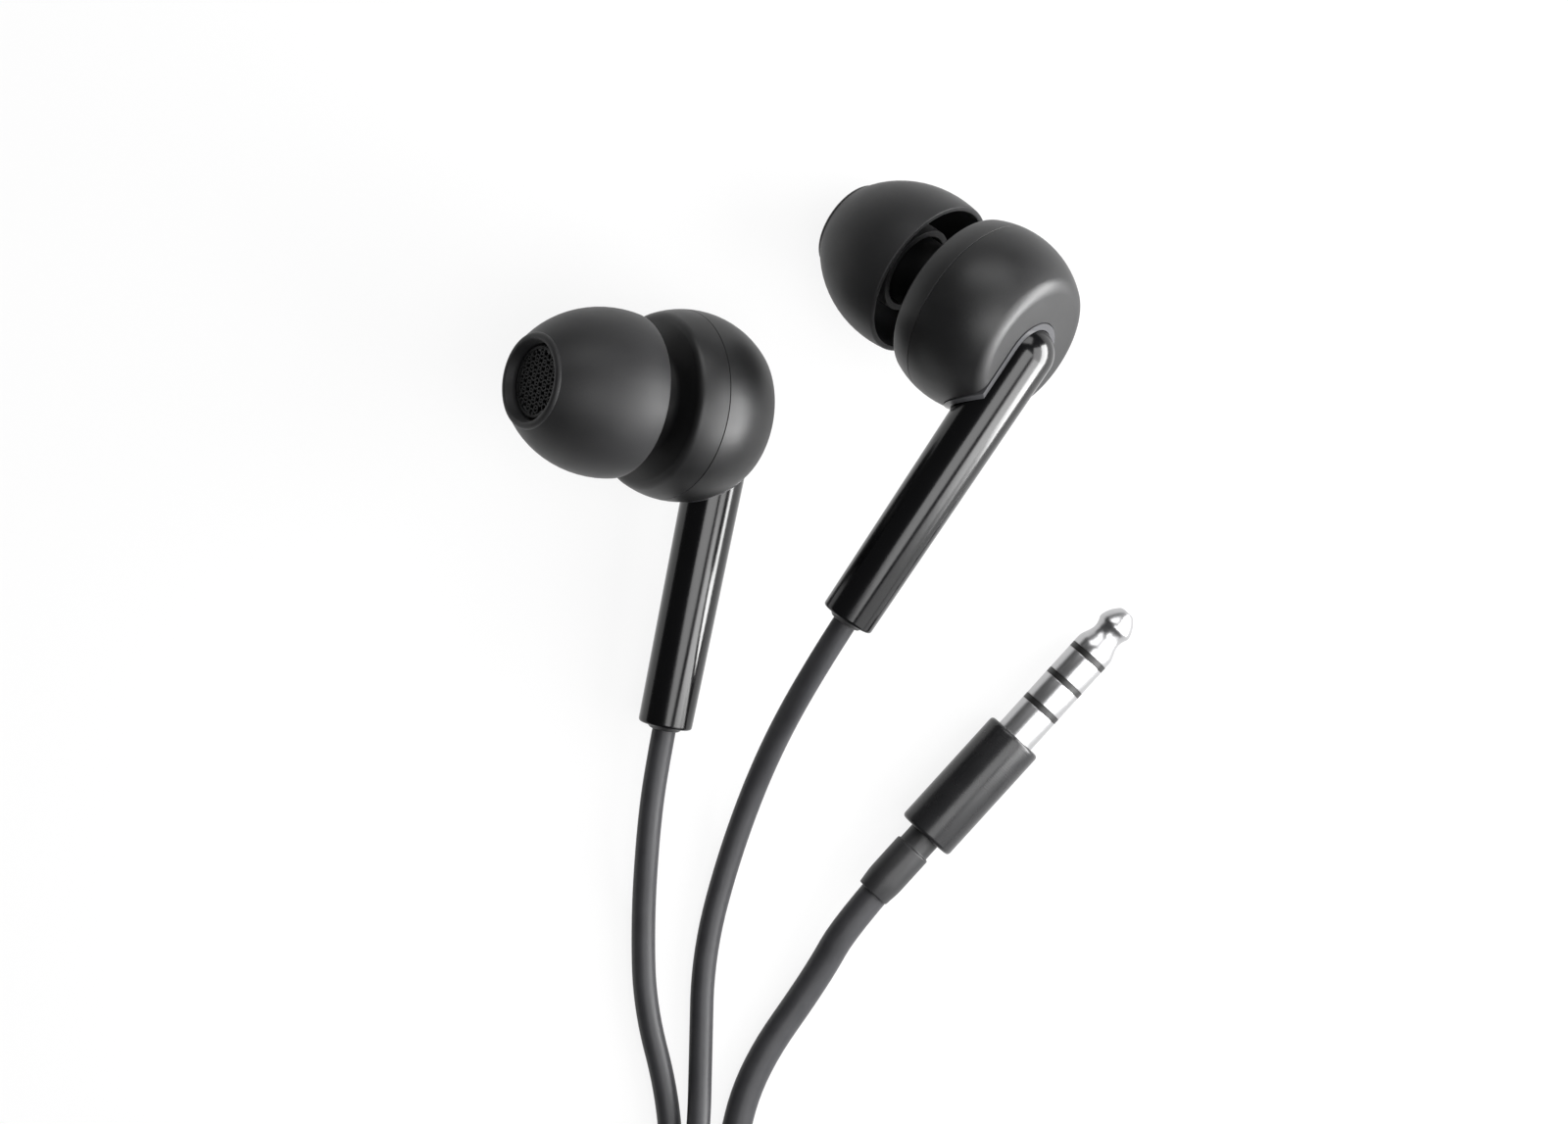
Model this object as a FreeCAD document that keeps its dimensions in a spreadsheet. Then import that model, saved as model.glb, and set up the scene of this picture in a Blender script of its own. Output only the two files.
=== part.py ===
import FreeCAD, Part
import math
import os

import Sketcher

# Wired in-ear earphones lying on a table, seen by someone who looks straight down at them.
# X runs to the right, Y away from the viewer's near edge, Z up from the table.
# The origin is on the table, under the middle of the two buds and the plug.
# Each bud is drawn in a frame of its own: the centre of its ball-shaped housing is the origin,
# Z runs out along the nozzle and the ear tip, and the stem runs along -X behind that centre.

Vector = FreeCAD.Vector

# Driving sizes, in millimetres, or in degrees where the name ends in _angle.
SIZES = {
    # Where the two buds lie and how they are turned
    "left_bud_across": -9.23,
    "left_bud_along": 4.239,
    "left_tip_angle": 172.1,
    "left_rise_angle": 38.7,
    "left_stem_angle": 258.6,
    "right_bud_across": 15.567,
    "right_bud_along": 11.348,
    "right_tip_angle": 143.1,
    "right_rise_angle": -28.9,
    "right_stem_angle": 236.5,
    # Housing: a ball with a flat front, a flat back and a seam round its middle
    "housing_radius": 7.95,
    "housing_wall": 1.0,
    "housing_front": 3.5,
    "housing_back": 5.4,
    "front_edge_round": 0.8,
    "back_edge_round": 1.6,
    "seam_height": 1.0,
    "seam_lip_depth": 0.8,
    "seam_lip_wall": 0.6,
    "fit_gap": 0.05,
    # Nozzle on the housing's front, with a lip that holds the ear tip
    "shoulder_radius": 4.4,
    "shoulder_length": 2.4,
    "shoulder_curve": 3.2,
    "nozzle_radius": 2.95,
    "nozzle_wall": 0.5,
    "nozzle_length": 10.95,
    "nozzle_lip_height": 0.17,
    "nozzle_lip_length": 1.3,
    "nozzle_lip_slope": 0.3,
    "mesh_thickness": 0.15,
    "mesh_hole_radius": 0.3,
    "mesh_hole_pitch": 0.86,
    # Ear tip: a silicone dome on a sleeve
    "tip_length": 9.15,
    "tip_overhang": 0.9,
    "tip_rim_radius": 6.8,
    "tip_rim_thickness": 0.45,
    "tip_dome_curve": 9.95,
    "tip_inner_curve": 8.0,
    "tip_mouth_radius": 3.4,
    "tip_mouth_depth": 0.7,
    "tip_front_radius": 3.95,
    "tip_front_round": 0.35,
    "tip_web_thickness": 1.6,
    "tip_sleeve_wall": 0.58,
    "tip_sleeve_length": 7.7,
    # Driver: a moving-coil capsule behind the housing's front wall
    "driver_radius": 5.0,
    "driver_depth": 2.6,
    "driver_rim_wall": 0.45,
    "driver_ledge_width": 0.35,
    "driver_front_room": 0.75,
    "driver_floor_thickness": 0.4,
    "driver_seat_wall": 0.7,
    "chamber_depth": 1.0,
    "yoke_radius": 3.8,
    "yoke_wall": 0.5,
    "yoke_floor": 0.4,
    "yoke_height": 1.6,
    "magnet_radius": 2.6,
    "magnet_height": 0.8,
    "pole_plate_radius": 2.75,
    "coil_gap": 0.15,
    "coil_wall": 0.22,
    "coil_height": 1.15,
    "film_thickness": 0.1,
    "diaphragm_overlap": 0.25,
    "diaphragm_rise": 0.5,
    "surround_rise": 0.3,
    "damper_thickness": 0.12,
    "board_radius": 3.0,
    "board_thickness": 0.45,
    # Stem, inlaid in the housing's back, with a collar round its inlaid part
    "stem_setback": 4.9,
    "stem_top": 1.9,
    "stem_top_radius": 2.5,
    "stem_length": 26.6,
    "stem_end_radius": 2.27,
    "stem_end_round": 0.25,
    "stem_bore_radius": 1.3,
    "collar_wall": 0.55,
    "collar_proud": 0.1,
    "lead_hole_at": 1.6,
    "lead_hole_radius": 0.75,
    "bushing_radius": 1.6,
    "bushing_length": 1.7,
    "bushing_nose": 0.35,
    "knot_length": 2.2,
    "knot_radius": 1.2,
    "lead_radius": 0.22,
    "lead_spacing": 0.64,
    "lead_bend": 0.9,
    # Cords
    "bud_cord_diameter": 2.0,
    "trunk_cord_diameter": 2.5,
    "cord_hole_gap": 0.03,
    # Plug: a four-pole 3.5 mm pin in a turned barrel
    "plug_across": 18.616,
    "plug_along": -23.221,
    "plug_angle": 47.7,
    "pin_radius": 1.75,
    "pin_length": 14.0,
    "pin_bore_radius": 0.9,
    "insulator_width": 0.5,
    "first_insulator_at": 3.2,
    "second_insulator_at": 6.1,
    "third_insulator_at": 9.0,
    "tip_neck_radius": 1.3,
    "tip_neck_at": 11.1,
    "tip_bulge_radius": 1.58,
    "tip_bulge_at": 12.3,
    "tip_nose_radius": 0.6,
    "barrel_radius": 2.55,
    "barrel_length": 11.2,
    "barrel_wall": 0.55,
    "barrel_end_wall": 1.0,
    "barrel_chamfer": 0.3,
    "flange_radius": 1.98,
    "flange_length": 3.0,
    "core_length": 15.0,
    "relief_neck_radius": 1.42,
    "relief_neck_length": 1.5,
    "relief_radius": 1.62,
    "relief_length": 3.6,
    "relief_end_radius": 1.46,
    "relief_taper_length": 1.4,
    "relief_flange_radius": 1.9,
    "relief_flange_length": 0.8,
    # Junction of the cords: a two-part case with a button, a board and a microphone
    "junction_across": -11.584,
    "junction_along": -109.521,
    "junction_length": 20.0,
    "junction_width": 7.0,
    "junction_height": 5.0,
    "junction_corner": 3.0,
    "junction_edge_round": 0.8,
    "junction_wall": 0.7,
    "junction_end_wall": 1.8,
    "bud_cord_spacing": 2.5,
    "button_length": 7.0,
    "button_width": 2.8,
    "button_proud": 0.3,
    "button_flange": 0.4,
    "button_flange_thickness": 0.5,
    "button_travel": 0.25,
    "button_foot_radius": 0.9,
    "circuit_length": 13.0,
    "circuit_width": 4.2,
    "circuit_thickness": 0.6,
    "switch_side": 3.0,
    "switch_height": 1.2,
    "microphone_radius": 1.1,
    "microphone_height": 0.9,
    "microphone_at": -5.2,
    "sound_hole_radius": 0.35,
    # Put-away coils: turns lie beside and on each other
    "turn_gap": 0.46,
    "pile_across": -21.434,
    "pile_along": -72.321,
    "pile_inner_radius": 8.7,
    "trunk_coil_across": 10.416,
    "trunk_coil_along": -76.521,
    "trunk_coil_inner_radius": 9.4,
}

# Turns of a coil, in eighths of a turn, and its layers
PILE_EIGHTHS = 25
PILE_LAYERS = 2
TRUNK_EIGHTHS = 73
TRUNK_LAYERS = 4


class Size:
    """A number together with the expression over the sheet that it comes from."""

    def __init__(self, value, text=None):
        self.value = float(value)
        self.text = text if text is not None else repr(float(value))
        self.bound = text is not None

    def joined(self, other, sign, value):
        return Size(value, f"({self.text} {sign} {other.text})")

    def __add__(self, other):
        other = as_size(other)
        return self.joined(other, "+", self.value + other.value)

    def __sub__(self, other):
        other = as_size(other)
        return self.joined(other, "-", self.value - other.value)

    def __mul__(self, other):
        other = as_size(other)
        return self.joined(other, "*", self.value * other.value)

    def __truediv__(self, other):
        other = as_size(other)
        return self.joined(other, "/", self.value / other.value)

    def __neg__(self):
        return Size(-self.value, f"(0 - {self.text})")

    def __rsub__(self, other):
        return as_size(other) - self


def as_size(number):
    return number if isinstance(number, Size) else Size(number)


def root(size):
    """The square root of a size."""
    return Size(math.sqrt(size.value), f"sqrt({size.text})")


class Sheet:
    """The spreadsheet of driving sizes. Each one is an attribute of this object, as a Size."""

    def __init__(self, document, sizes):
        cells = document.addObject("Spreadsheet::Sheet", "Sizes")
        for row, (name, value) in enumerate(sizes.items(), 1):
            cells.set(f"A{row}", name)
            cells.set(f"B{row}", str(value))
            cells.setAlias(f"B{row}", name)
        document.recompute()
        for name in sizes:
            setattr(self, name, Size(cells.get(name), f"Sizes.{name}"))


doc = FreeCAD.newDocument("Earphones")
size = Sheet(doc, SIZES)
nodes = {}


def keep(label, thing, place=None):
    """Files an object as a sub-part under its label, with its place."""
    thing.Label = label
    if place is not None:
        thing.Placement = place
    nodes[label] = thing
    return thing


def bind(thing, name, value):
    """Sets a property to a size, through its expression where it has one."""
    value = as_size(value)
    if value.bound:
        thing.setExpression(name, value.text)
    else:
        setattr(thing, name, value.value)


def arc_centre(start, end, radius):
    """The centre of the arc of less than half a circle from start to end, turning left if radius > 0."""
    chord = end - start
    height = math.sqrt(max(radius * radius - (chord.Length / 2) ** 2, 0.0))
    left = Vector(-chord.y, chord.x, 0).normalize()
    return (start + end) * 0.5 + left * math.copysign(height, radius)


def angle_of(centre, point):
    return math.atan2(point.y - centre.y, point.x - centre.x)


def edge_between(start, end, radius):
    """A line, or an arc where radius isn't zero, with the numbers of its first and last vertex."""
    if not radius:
        return Part.LineSegment(start, end), 1, 2
    centre = arc_centre(start, end, radius)
    circle = Part.Circle(centre, Vector(0, 0, 1), abs(radius))
    first, last = angle_of(centre, start), angle_of(centre, end)
    if radius > 0:
        return Part.ArcOfCircle(circle, first, last), 1, 2
    return Part.ArcOfCircle(circle, last, first), 2, 1


def new_sketch(body, label, plane, shift):
    """A sketch on one of the body's own origin planes, moved by (axis, size) where shift is given."""
    drawing = body.newObject("Sketcher::SketchObject", label)
    support = [flat for flat in body.Origin.OriginFeatures if flat.Role == plane][0]
    drawing.AttachmentSupport = [(support, "")]
    drawing.MapMode = "FlatFace"
    if shift is not None:
        drawing.setExpression(f"AttachmentOffset.Base.{shift[0]}", shift[1].text)
    return drawing


def datum(drawing, *parts, value):
    """A dimension of a sketch, bound to its size."""
    value = as_size(value)
    number = drawing.addConstraint(Sketcher.Constraint(*parts, value.value))
    if value.bound:
        drawing.setExpression(f"Constraints[{number}]", value.text)


def add_outline(drawing, corners):
    """A closed outline. A corner is (across, up), and (across, up, radius) where an arc leads to it."""
    first_edge = drawing.GeometryCount
    spots = [[as_size(number) for number in corner] for corner in corners]
    points = [Vector(spot[0].value, spot[1].value, 0) for spot in spots]
    ends = []
    for number, spot in enumerate(spots):
        radius = spot[2].value if len(spot) == 3 else 0.0
        curve, first, last = edge_between(points[number - 1], points[number], radius)
        edge = drawing.addGeometry(curve, False)
        ends.append((edge, first, last))
    for number, spot in enumerate(spots):
        edge, first, last = ends[number]
        before, _, joint = ends[number - 1]
        drawing.addConstraint(Sketcher.Constraint("Coincident", before, joint, edge, first))
        datum(drawing, "DistanceX", -1, 1, edge, last, value=spot[0])
        datum(drawing, "DistanceY", -1, 1, edge, last, value=spot[1])
        if len(spot) == 3:
            radius = spot[2] if spot[2].value > 0 else -spot[2]
            datum(drawing, "Radius", edge, value=radius)
    return first_edge


def add_circle(drawing, across, up, radius):
    """A circle by its centre and radius."""
    across, up, radius = as_size(across), as_size(up), as_size(radius)
    spot = Vector(across.value, up.value, 0)
    edge = drawing.addGeometry(Part.Circle(spot, Vector(0, 0, 1), radius.value), False)
    datum(drawing, "DistanceX", -1, 1, edge, 3, value=across)
    datum(drawing, "DistanceY", -1, 1, edge, 3, value=up)
    datum(drawing, "Radius", edge, value=radius)


def new_body(label, place):
    return keep(label, doc.addObject("PartDesign::Body", label), place)


def sweep_round(body, kind, drawing, axis):
    """A Revolution or a Groove of a sketch about one of its own axes."""
    feature = body.newObject(f"PartDesign::{kind}", f"{body.Label}_{kind.lower()}")
    feature.Profile = drawing
    feature.ReferenceAxis = (drawing, [axis])
    feature.Angle = 360
    drawing.Visibility = False
    return feature


def turned(label, place, corners, axis="V_Axis", shift=None):
    """A body turned on a lathe: its outline in the XZ plane, swept round an axis of the sketch."""
    body = new_body(label, place)
    drawing = new_sketch(body, f"{label}_outline", "XZ_Plane", shift)
    add_outline(drawing, corners)
    sweep_round(body, "Revolution", drawing, axis)
    return body


def must_cut(body, before):
    """Stops where a cut took nothing away."""
    doc.recompute()
    if not body.Shape.Volume < before - 1e-6:
        raise ValueError(f"{body.Label}: a cut takes nothing away")


def turned_cut(body, corners, axis, shift=None):
    """Takes a turned shape out of a body."""
    doc.recompute()
    before = body.Shape.Volume
    drawing = new_sketch(body, f"{body.Label}_cut_outline", "XZ_Plane", shift)
    add_outline(drawing, corners)
    sweep_round(body, "Groove", drawing, axis)
    must_cut(body, before)


def pocket(body, drawing, depth=None, reverse=False):
    """Takes a sketch out of a body, away from the sketch's normal unless reversed, or right through."""
    doc.recompute()
    before = body.Shape.Volume
    feature = body.newObject("PartDesign::Pocket", f"{drawing.Name}_pocket")
    feature.Profile = drawing
    feature.Reversed = reverse
    if depth is None:
        feature.Type = "ThroughAll"
    else:
        feature.Type = "Length"
        bind(feature, "Length", depth)
    drawing.Visibility = False
    must_cut(body, before)


def pad(body, drawing, height, reverse=False):
    """Raises a sketch along its normal."""
    feature = body.newObject("PartDesign::Pad", f"{drawing.Name}_pad")
    feature.Profile = drawing
    feature.Reversed = reverse
    bind(feature, "Length", height)
    drawing.Visibility = False
    return feature


def rectangle(length, width):
    """The corners of a rectangle round the origin."""
    across, up = length / 2, width / 2
    return [(-across, -up), (across, -up), (across, up), (-across, up)]


def rounded_rectangle(length, width, corner):
    """The corners of a rectangle round the origin whose corners are arcs."""
    across, up = length / 2, width / 2
    inner, low = across - corner, up - corner
    return [
        (-inner, -up, corner),
        (inner, -up),
        (across, -low, corner),
        (across, low),
        (inner, up, corner),
        (-inner, up),
        (-across, low, corner),
        (-across, -low),
    ]


def edge_round_points(ball, face, edge):
    """Where a rounded edge between a ball and a flat face touches each of them."""
    centre_across = root((ball - edge) * (ball - edge) - (face - edge) * (face - edge))
    share = ball / (ball - edge)
    return (centre_across * share, (face - edge) * share), (centre_across, face)


def circle_at(radius, height):
    """The radius of a ball's section at a height."""
    return root(radius * radius - height * height)


# Places and levels that several pieces of a bud share, in the bud's own frame
inner_ball = size.housing_radius - size.housing_wall
front_wall = size.housing_front - size.housing_wall
nozzle_end = size.housing_front + size.nozzle_length
nozzle_bore = size.nozzle_radius - size.nozzle_wall
lip_radius = size.nozzle_radius + size.nozzle_lip_height
seam_inner = circle_at(inner_ball, size.seam_height)
lip_outer = seam_inner - size.fit_gap
lip_inner = lip_outer - size.seam_lip_wall
driver_back = front_wall - size.driver_depth
ledge_level = front_wall - size.driver_front_room
seat_bore = size.driver_radius + size.fit_gap
rim_inner = size.driver_radius - size.driver_rim_wall
ledge_inner = rim_inner - size.driver_ledge_width
film_top = ledge_level + size.film_thickness
yoke_back = ledge_level - size.coil_gap * 3 - size.yoke_height
yoke_inner = size.yoke_radius - size.yoke_wall
magnet_back = yoke_back + size.yoke_floor
plate_back = magnet_back + size.magnet_height
plate_front = yoke_back + size.yoke_height
coil_inner = size.pole_plate_radius + size.coil_gap
coil_outer = coil_inner + size.coil_wall
board_front = yoke_back - size.fit_gap
board_back = board_front - size.board_thickness
tip_front = nozzle_end + size.tip_overhang
tip_rim_height = tip_front - size.tip_length
tip_bore = lip_radius + size.fit_gap
stem_axis = ("y", -size.stem_setback)
stem_cap_centre = size.stem_top - size.stem_top_radius
collar_bore = size.stem_top_radius + size.fit_gap
collar_outer = collar_bore + size.collar_wall
bushing_bore = size.bud_cord_diameter / 2 + size.cord_hole_gap
knot_face = -(size.stem_length - size.bushing_length - 0.3)


def front_shell(side, place):
    """The front of the housing, with its nozzle, the driver's seat and the lip at the seam."""
    ball_point, face_point = edge_round_points(
        size.housing_radius, size.housing_front, size.front_edge_round
    )
    lip_back = nozzle_end - size.nozzle_lip_length
    lip_level = size.seam_height + size.seam_lip_wall
    turned(
        f"{side}_front_shell",
        place,
        [
            (circle_at(size.housing_radius, size.seam_height), size.seam_height),
            (*ball_point, size.housing_radius),
            (*face_point, size.front_edge_round),
            (size.shoulder_radius, size.housing_front),
            (
                size.nozzle_radius,
                size.housing_front + size.shoulder_length,
                -size.shoulder_curve,
            ),
            (size.nozzle_radius, lip_back - size.nozzle_lip_slope),
            (lip_radius, lip_back),
            (lip_radius, nozzle_end - size.nozzle_lip_slope),
            (size.nozzle_radius, nozzle_end),
            (nozzle_bore, nozzle_end),
            (nozzle_bore, front_wall + size.chamber_depth),
            (rim_inner, front_wall),
            (seat_bore, front_wall),
            (seat_bore, driver_back),
            (seat_bore + size.driver_seat_wall, driver_back),
            (seat_bore + size.driver_seat_wall, front_wall),
            (circle_at(inner_ball, front_wall), front_wall),
            (circle_at(inner_ball, lip_level), lip_level, -inner_ball),
            (lip_inner, lip_level),
            (lip_inner, size.seam_height - size.seam_lip_depth),
            (lip_outer, size.seam_height - size.seam_lip_depth),
            (lip_outer, size.seam_height),
        ],
    )


def rear_shell(side, place):
    """The back of the housing, open where the stem and its collar lie in it."""
    ball_point, face_point = edge_round_points(
        size.housing_radius, size.housing_back, size.back_edge_round
    )
    inner_back = size.housing_back - size.housing_wall
    body = turned(
        f"{side}_rear_shell",
        place,
        [
            (0, -inner_back),
            (circle_at(inner_ball, inner_back), -inner_back),
            (seam_inner, size.seam_height, inner_ball),
            (circle_at(size.housing_radius, size.seam_height), size.seam_height),
            (ball_point[0], -ball_point[1], -size.housing_radius),
            (face_point[0], -face_point[1], -size.back_edge_round),
            (0, -size.housing_back),
        ],
    )
    reach = collar_outer + size.fit_gap
    past = -(size.housing_radius * 1.5)
    turned_cut(
        body,
        [
            (past, 0),
            (stem_cap_centre + reach, 0),
            (stem_cap_centre, reach, reach),
            (past, reach),
        ],
        "H_Axis",
        stem_axis,
    )


def lead_hole(body):
    """The hole in a piece's front side that the driver's leads pass."""
    drawing = new_sketch(body, f"{body.Label}_lead_hole", "XY_Plane", None)
    add_circle(drawing, -size.lead_hole_at, 0, size.lead_hole_radius)
    pocket(body, drawing, depth=size.stem_setback)


def stem_collar(side, place):
    """The liner of the housing's open back, which shows as a narrow rim round the stem."""
    past = size.housing_radius * 1.2
    body = turned(
        f"{side}_stem_collar",
        place,
        [
            (-past, collar_bore),
            (stem_cap_centre, collar_bore),
            (stem_cap_centre + collar_bore, 0, -collar_bore),
            (stem_cap_centre + collar_outer, 0),
            (stem_cap_centre, collar_outer, collar_outer),
            (-past, collar_outer),
        ],
        "H_Axis",
        stem_axis,
    )
    ball = size.housing_radius + size.collar_proud
    level = -(size.housing_back + size.collar_proud)
    turned_cut(
        body,
        [
            (circle_at(ball, level), level, -ball),
            (past * 2, level),
            (past * 2, 0),
            (ball, 0),
        ],
        "V_Axis",
    )
    doc.recompute()
    drawing = new_sketch(body, f"{side}_collar_back", "XY_Plane", ("z", level))
    side_length = size.housing_radius * 4
    add_outline(drawing, rectangle(side_length, side_length))
    pocket(body, drawing)
    lead_hole(body)


def stem(side, place):
    """The hollow stem: round at the top, tapered, open at the end for its bushing."""
    end = -size.stem_length
    round_at = size.stem_end_round
    seat = end + size.bushing_length
    body = turned(
        f"{side}_stem",
        place,
        [
            (size.stem_top, 0),
            (stem_cap_centre, size.stem_top_radius, size.stem_top_radius),
            (end + round_at, size.stem_end_radius),
            (end, size.stem_end_radius - round_at, round_at),
            (end, size.bushing_radius),
            (seat, size.bushing_radius),
            (seat, size.stem_bore_radius),
            (stem_cap_centre, size.stem_bore_radius),
            (stem_cap_centre + size.stem_bore_radius, 0, -size.stem_bore_radius),
        ],
        "H_Axis",
        stem_axis,
    )
    lead_hole(body)


def stem_bushing(side, place):
    """The soft bushing in the stem's end that the cord comes out of."""
    end = -size.stem_length
    seat = end + size.bushing_length
    outer = size.bushing_radius - size.cord_hole_gap
    nose = end - size.bushing_nose
    turned(
        f"{side}_stem_bushing",
        place,
        [
            (nose, bushing_bore),
            (seat, bushing_bore),
            (seat, outer),
            (end, outer),
            (nose, outer - size.bushing_nose),
        ],
        "H_Axis",
        stem_axis,
    )


def cord_knot(side, place):
    """The knot that keeps the cord from being pulled out of the stem."""
    near = knot_face + size.knot_length
    flat = size.knot_radius / 2
    turned(
        f"{side}_cord_knot",
        place,
        [
            (knot_face, 0),
            (near, 0),
            (near, flat),
            (knot_face + size.knot_length / 2, size.knot_radius, size.knot_length * 0.75),
            (knot_face, flat, size.knot_length * 0.75),
        ],
        "H_Axis",
        stem_axis,
    )


def nozzle_mesh(side, place):
    """The round metal mesh on the nozzle's end: one holed face, its holes in rings of six."""
    body = new_body(f"{side}_nozzle_mesh", place)
    drawing = new_sketch(body, f"{side}_mesh_outline", "XY_Plane", ("z", nozzle_end))
    add_circle(drawing, 0, 0, size.nozzle_radius)
    add_circle(drawing, 0, 0, size.mesh_hole_radius)
    for ring in (1, 2, 3):
        for step in range(6 * ring):
            corner, along = divmod(step, ring)
            turn, onward = math.radians(60 * corner), math.radians(60 * corner + 120)
            across = ring * math.cos(turn) + along * math.cos(onward)
            up = ring * math.sin(turn) + along * math.sin(onward)
            add_circle(
                drawing,
                size.mesh_hole_pitch * across,
                size.mesh_hole_pitch * up,
                size.mesh_hole_radius,
            )
    pad(body, drawing, size.mesh_thickness)


def ear_tip(side, place):
    """The silicone ear tip: a dome with a skirt, a round mouth and a sleeve over the nozzle."""
    sleeve_outer = tip_bore + size.tip_sleeve_wall
    sleeve_back = tip_front - size.tip_sleeve_length
    turned(
        f"{side}_ear_tip",
        place,
        [
            (size.tip_rim_radius, tip_rim_height),
            (
                size.tip_front_radius,
                tip_front - size.tip_front_round,
                size.tip_dome_curve,
            ),
            (
                size.tip_front_radius - size.tip_front_round,
                tip_front,
                size.tip_front_round,
            ),
            (size.tip_mouth_radius, tip_front),
            (tip_bore, tip_front - size.tip_mouth_depth),
            (tip_bore, sleeve_back),
            (sleeve_outer, sleeve_back),
            (sleeve_outer, tip_front - size.tip_web_thickness),
            (
                size.tip_rim_radius - size.tip_rim_thickness,
                tip_rim_height,
                -size.tip_inner_curve,
            ),
        ],
    )


def driver(side, place):
    """The moving-coil capsule, piece by piece, and the board behind it."""
    floor_front = driver_back + size.driver_floor_thickness
    floor_bore = size.yoke_radius + size.fit_gap
    turned(
        f"{side}_driver_frame",
        place,
        [
            (size.driver_radius, driver_back),
            (size.driver_radius, front_wall),
            (rim_inner, front_wall),
            (rim_inner, ledge_level),
            (ledge_inner, ledge_level),
            (ledge_inner, floor_front),
            (floor_bore, floor_front),
            (floor_bore, driver_back),
        ],
    )
    turned(
        f"{side}_driver_yoke",
        place,
        [
            (0, yoke_back),
            (size.yoke_radius, yoke_back),
            (size.yoke_radius, plate_front),
            (yoke_inner, plate_front),
            (yoke_inner, magnet_back),
            (0, magnet_back),
        ],
    )
    turned(
        f"{side}_driver_magnet",
        place,
        [
            (0, magnet_back),
            (size.magnet_radius, magnet_back),
            (size.magnet_radius, plate_back),
            (0, plate_back),
        ],
    )
    turned(
        f"{side}_pole_plate",
        place,
        [
            (0, plate_back),
            (size.pole_plate_radius, plate_back),
            (size.pole_plate_radius, plate_front),
            (0, plate_front),
        ],
    )
    film_back = film_top - size.film_thickness * 2
    turned(
        f"{side}_voice_coil",
        place,
        [
            (coil_inner, film_back - size.coil_height),
            (coil_outer, film_back - size.coil_height),
            (coil_outer, film_back),
            (coil_inner, film_back),
        ],
    )
    cone_edge = coil_outer + size.diaphragm_overlap
    film_front = film_back + size.film_thickness
    apex = film_front + size.diaphragm_rise
    rise = size.diaphragm_rise
    dome_curve = (coil_inner * coil_inner + rise * rise) / (rise * 2)
    turned(
        f"{side}_diaphragm",
        place,
        [
            (0, apex - size.film_thickness),
            (coil_inner, film_back, -dome_curve),
            (cone_edge, film_back),
            (cone_edge, film_front),
            (coil_inner, film_front),
            (0, apex, dome_curve),
        ],
    )
    surround_start = cone_edge + size.fit_gap * 2
    roll_end = ledge_inner
    roll_curve = (roll_end - surround_start) * 0.75
    turned(
        f"{side}_driver_surround",
        place,
        [
            (rim_inner - size.fit_gap, ledge_level),
            (rim_inner - size.fit_gap, film_top),
            (roll_end, film_top),
            (surround_start, film_top, roll_curve),
            (surround_start, ledge_level),
            (roll_end, ledge_level, -roll_curve),
        ],
    )
    turned(
        f"{side}_driver_damper",
        place,
        [
            (floor_bore, driver_back - size.damper_thickness),
            (size.driver_radius, driver_back - size.damper_thickness),
            (size.driver_radius, driver_back),
            (floor_bore, driver_back),
        ],
    )
    turned(
        f"{side}_terminal_board",
        place,
        [
            (0, board_back),
            (size.board_radius, board_back),
            (size.board_radius, board_front),
            (0, board_front),
        ],
    )


def bent_path(points, radii):
    """A wire of straight runs through the points, with a tangent arc of the given radius at each turn."""
    edges = []
    start = points[0]
    for before, corner, after, radius in zip(points, points[1:], points[2:], radii, strict=False):
        back = (before - corner).normalize()
        on = (after - corner).normalize()
        half_turn = (math.pi - back.getAngle(on)) / 2
        reach = radius * math.tan(half_turn)
        first, last = corner + back * reach, corner + on * reach
        inward = (back + on).normalize()
        middle = corner + inward * (radius / math.cos(half_turn) - radius)
        edges.append(Part.LineSegment(start, first).toShape())
        edges.append(Part.Arc(first, middle, last).toShape())
        start = last
    edges.append(Part.LineSegment(start, points[-1]).toShape())
    return Part.Wire(edges)


def pipe(wire, start, direction, radius):
    """A solid tube of a radius along a wire that starts at a point in a direction."""
    ring = Part.Wire([Part.Circle(start, direction, radius).toShape()])
    return wire.makePipeShell([ring], True, False)


def tube(label, wire, start, direction, diameter):
    """Files a solid tube, and stops where its volume isn't its section times its length."""
    shape = pipe(wire, start, direction, diameter / 2)
    section = math.pi * diameter * diameter / 4
    if abs(shape.Volume / (section * wire.Length) - 1) > 0.01:
        raise ValueError(f"{label}: {shape.Volume:.2f} isn't section times length")
    feature = doc.addObject("Part::Feature", label)
    feature.Shape = shape
    print(f"{label}: length {wire.Length:.1f} mm")
    return keep(label, feature)


def route_radii(points):
    """The arc radius at each inner point of a route: 0.45 of the shorter run over the half turn's tangent."""
    radii = []
    for before, corner, after in zip(points, points[1:], points[2:], strict=False):
        back, on = before - corner, after - corner
        half_turn = (math.pi - back.getAngle(on)) / 2
        radii.append(0.45 * min(back.Length, on.Length) / math.tan(half_turn))
    return radii


def cord(label, points, diameter):
    """A free stretch of cord along a route of points."""
    radii = route_radii(points)
    tube(label, bent_path(points, radii), points[0], points[1] - points[0], diameter)
    print(f"{label}: radii", " ".join(f"{radius:.1f}" for radius in radii))


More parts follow.
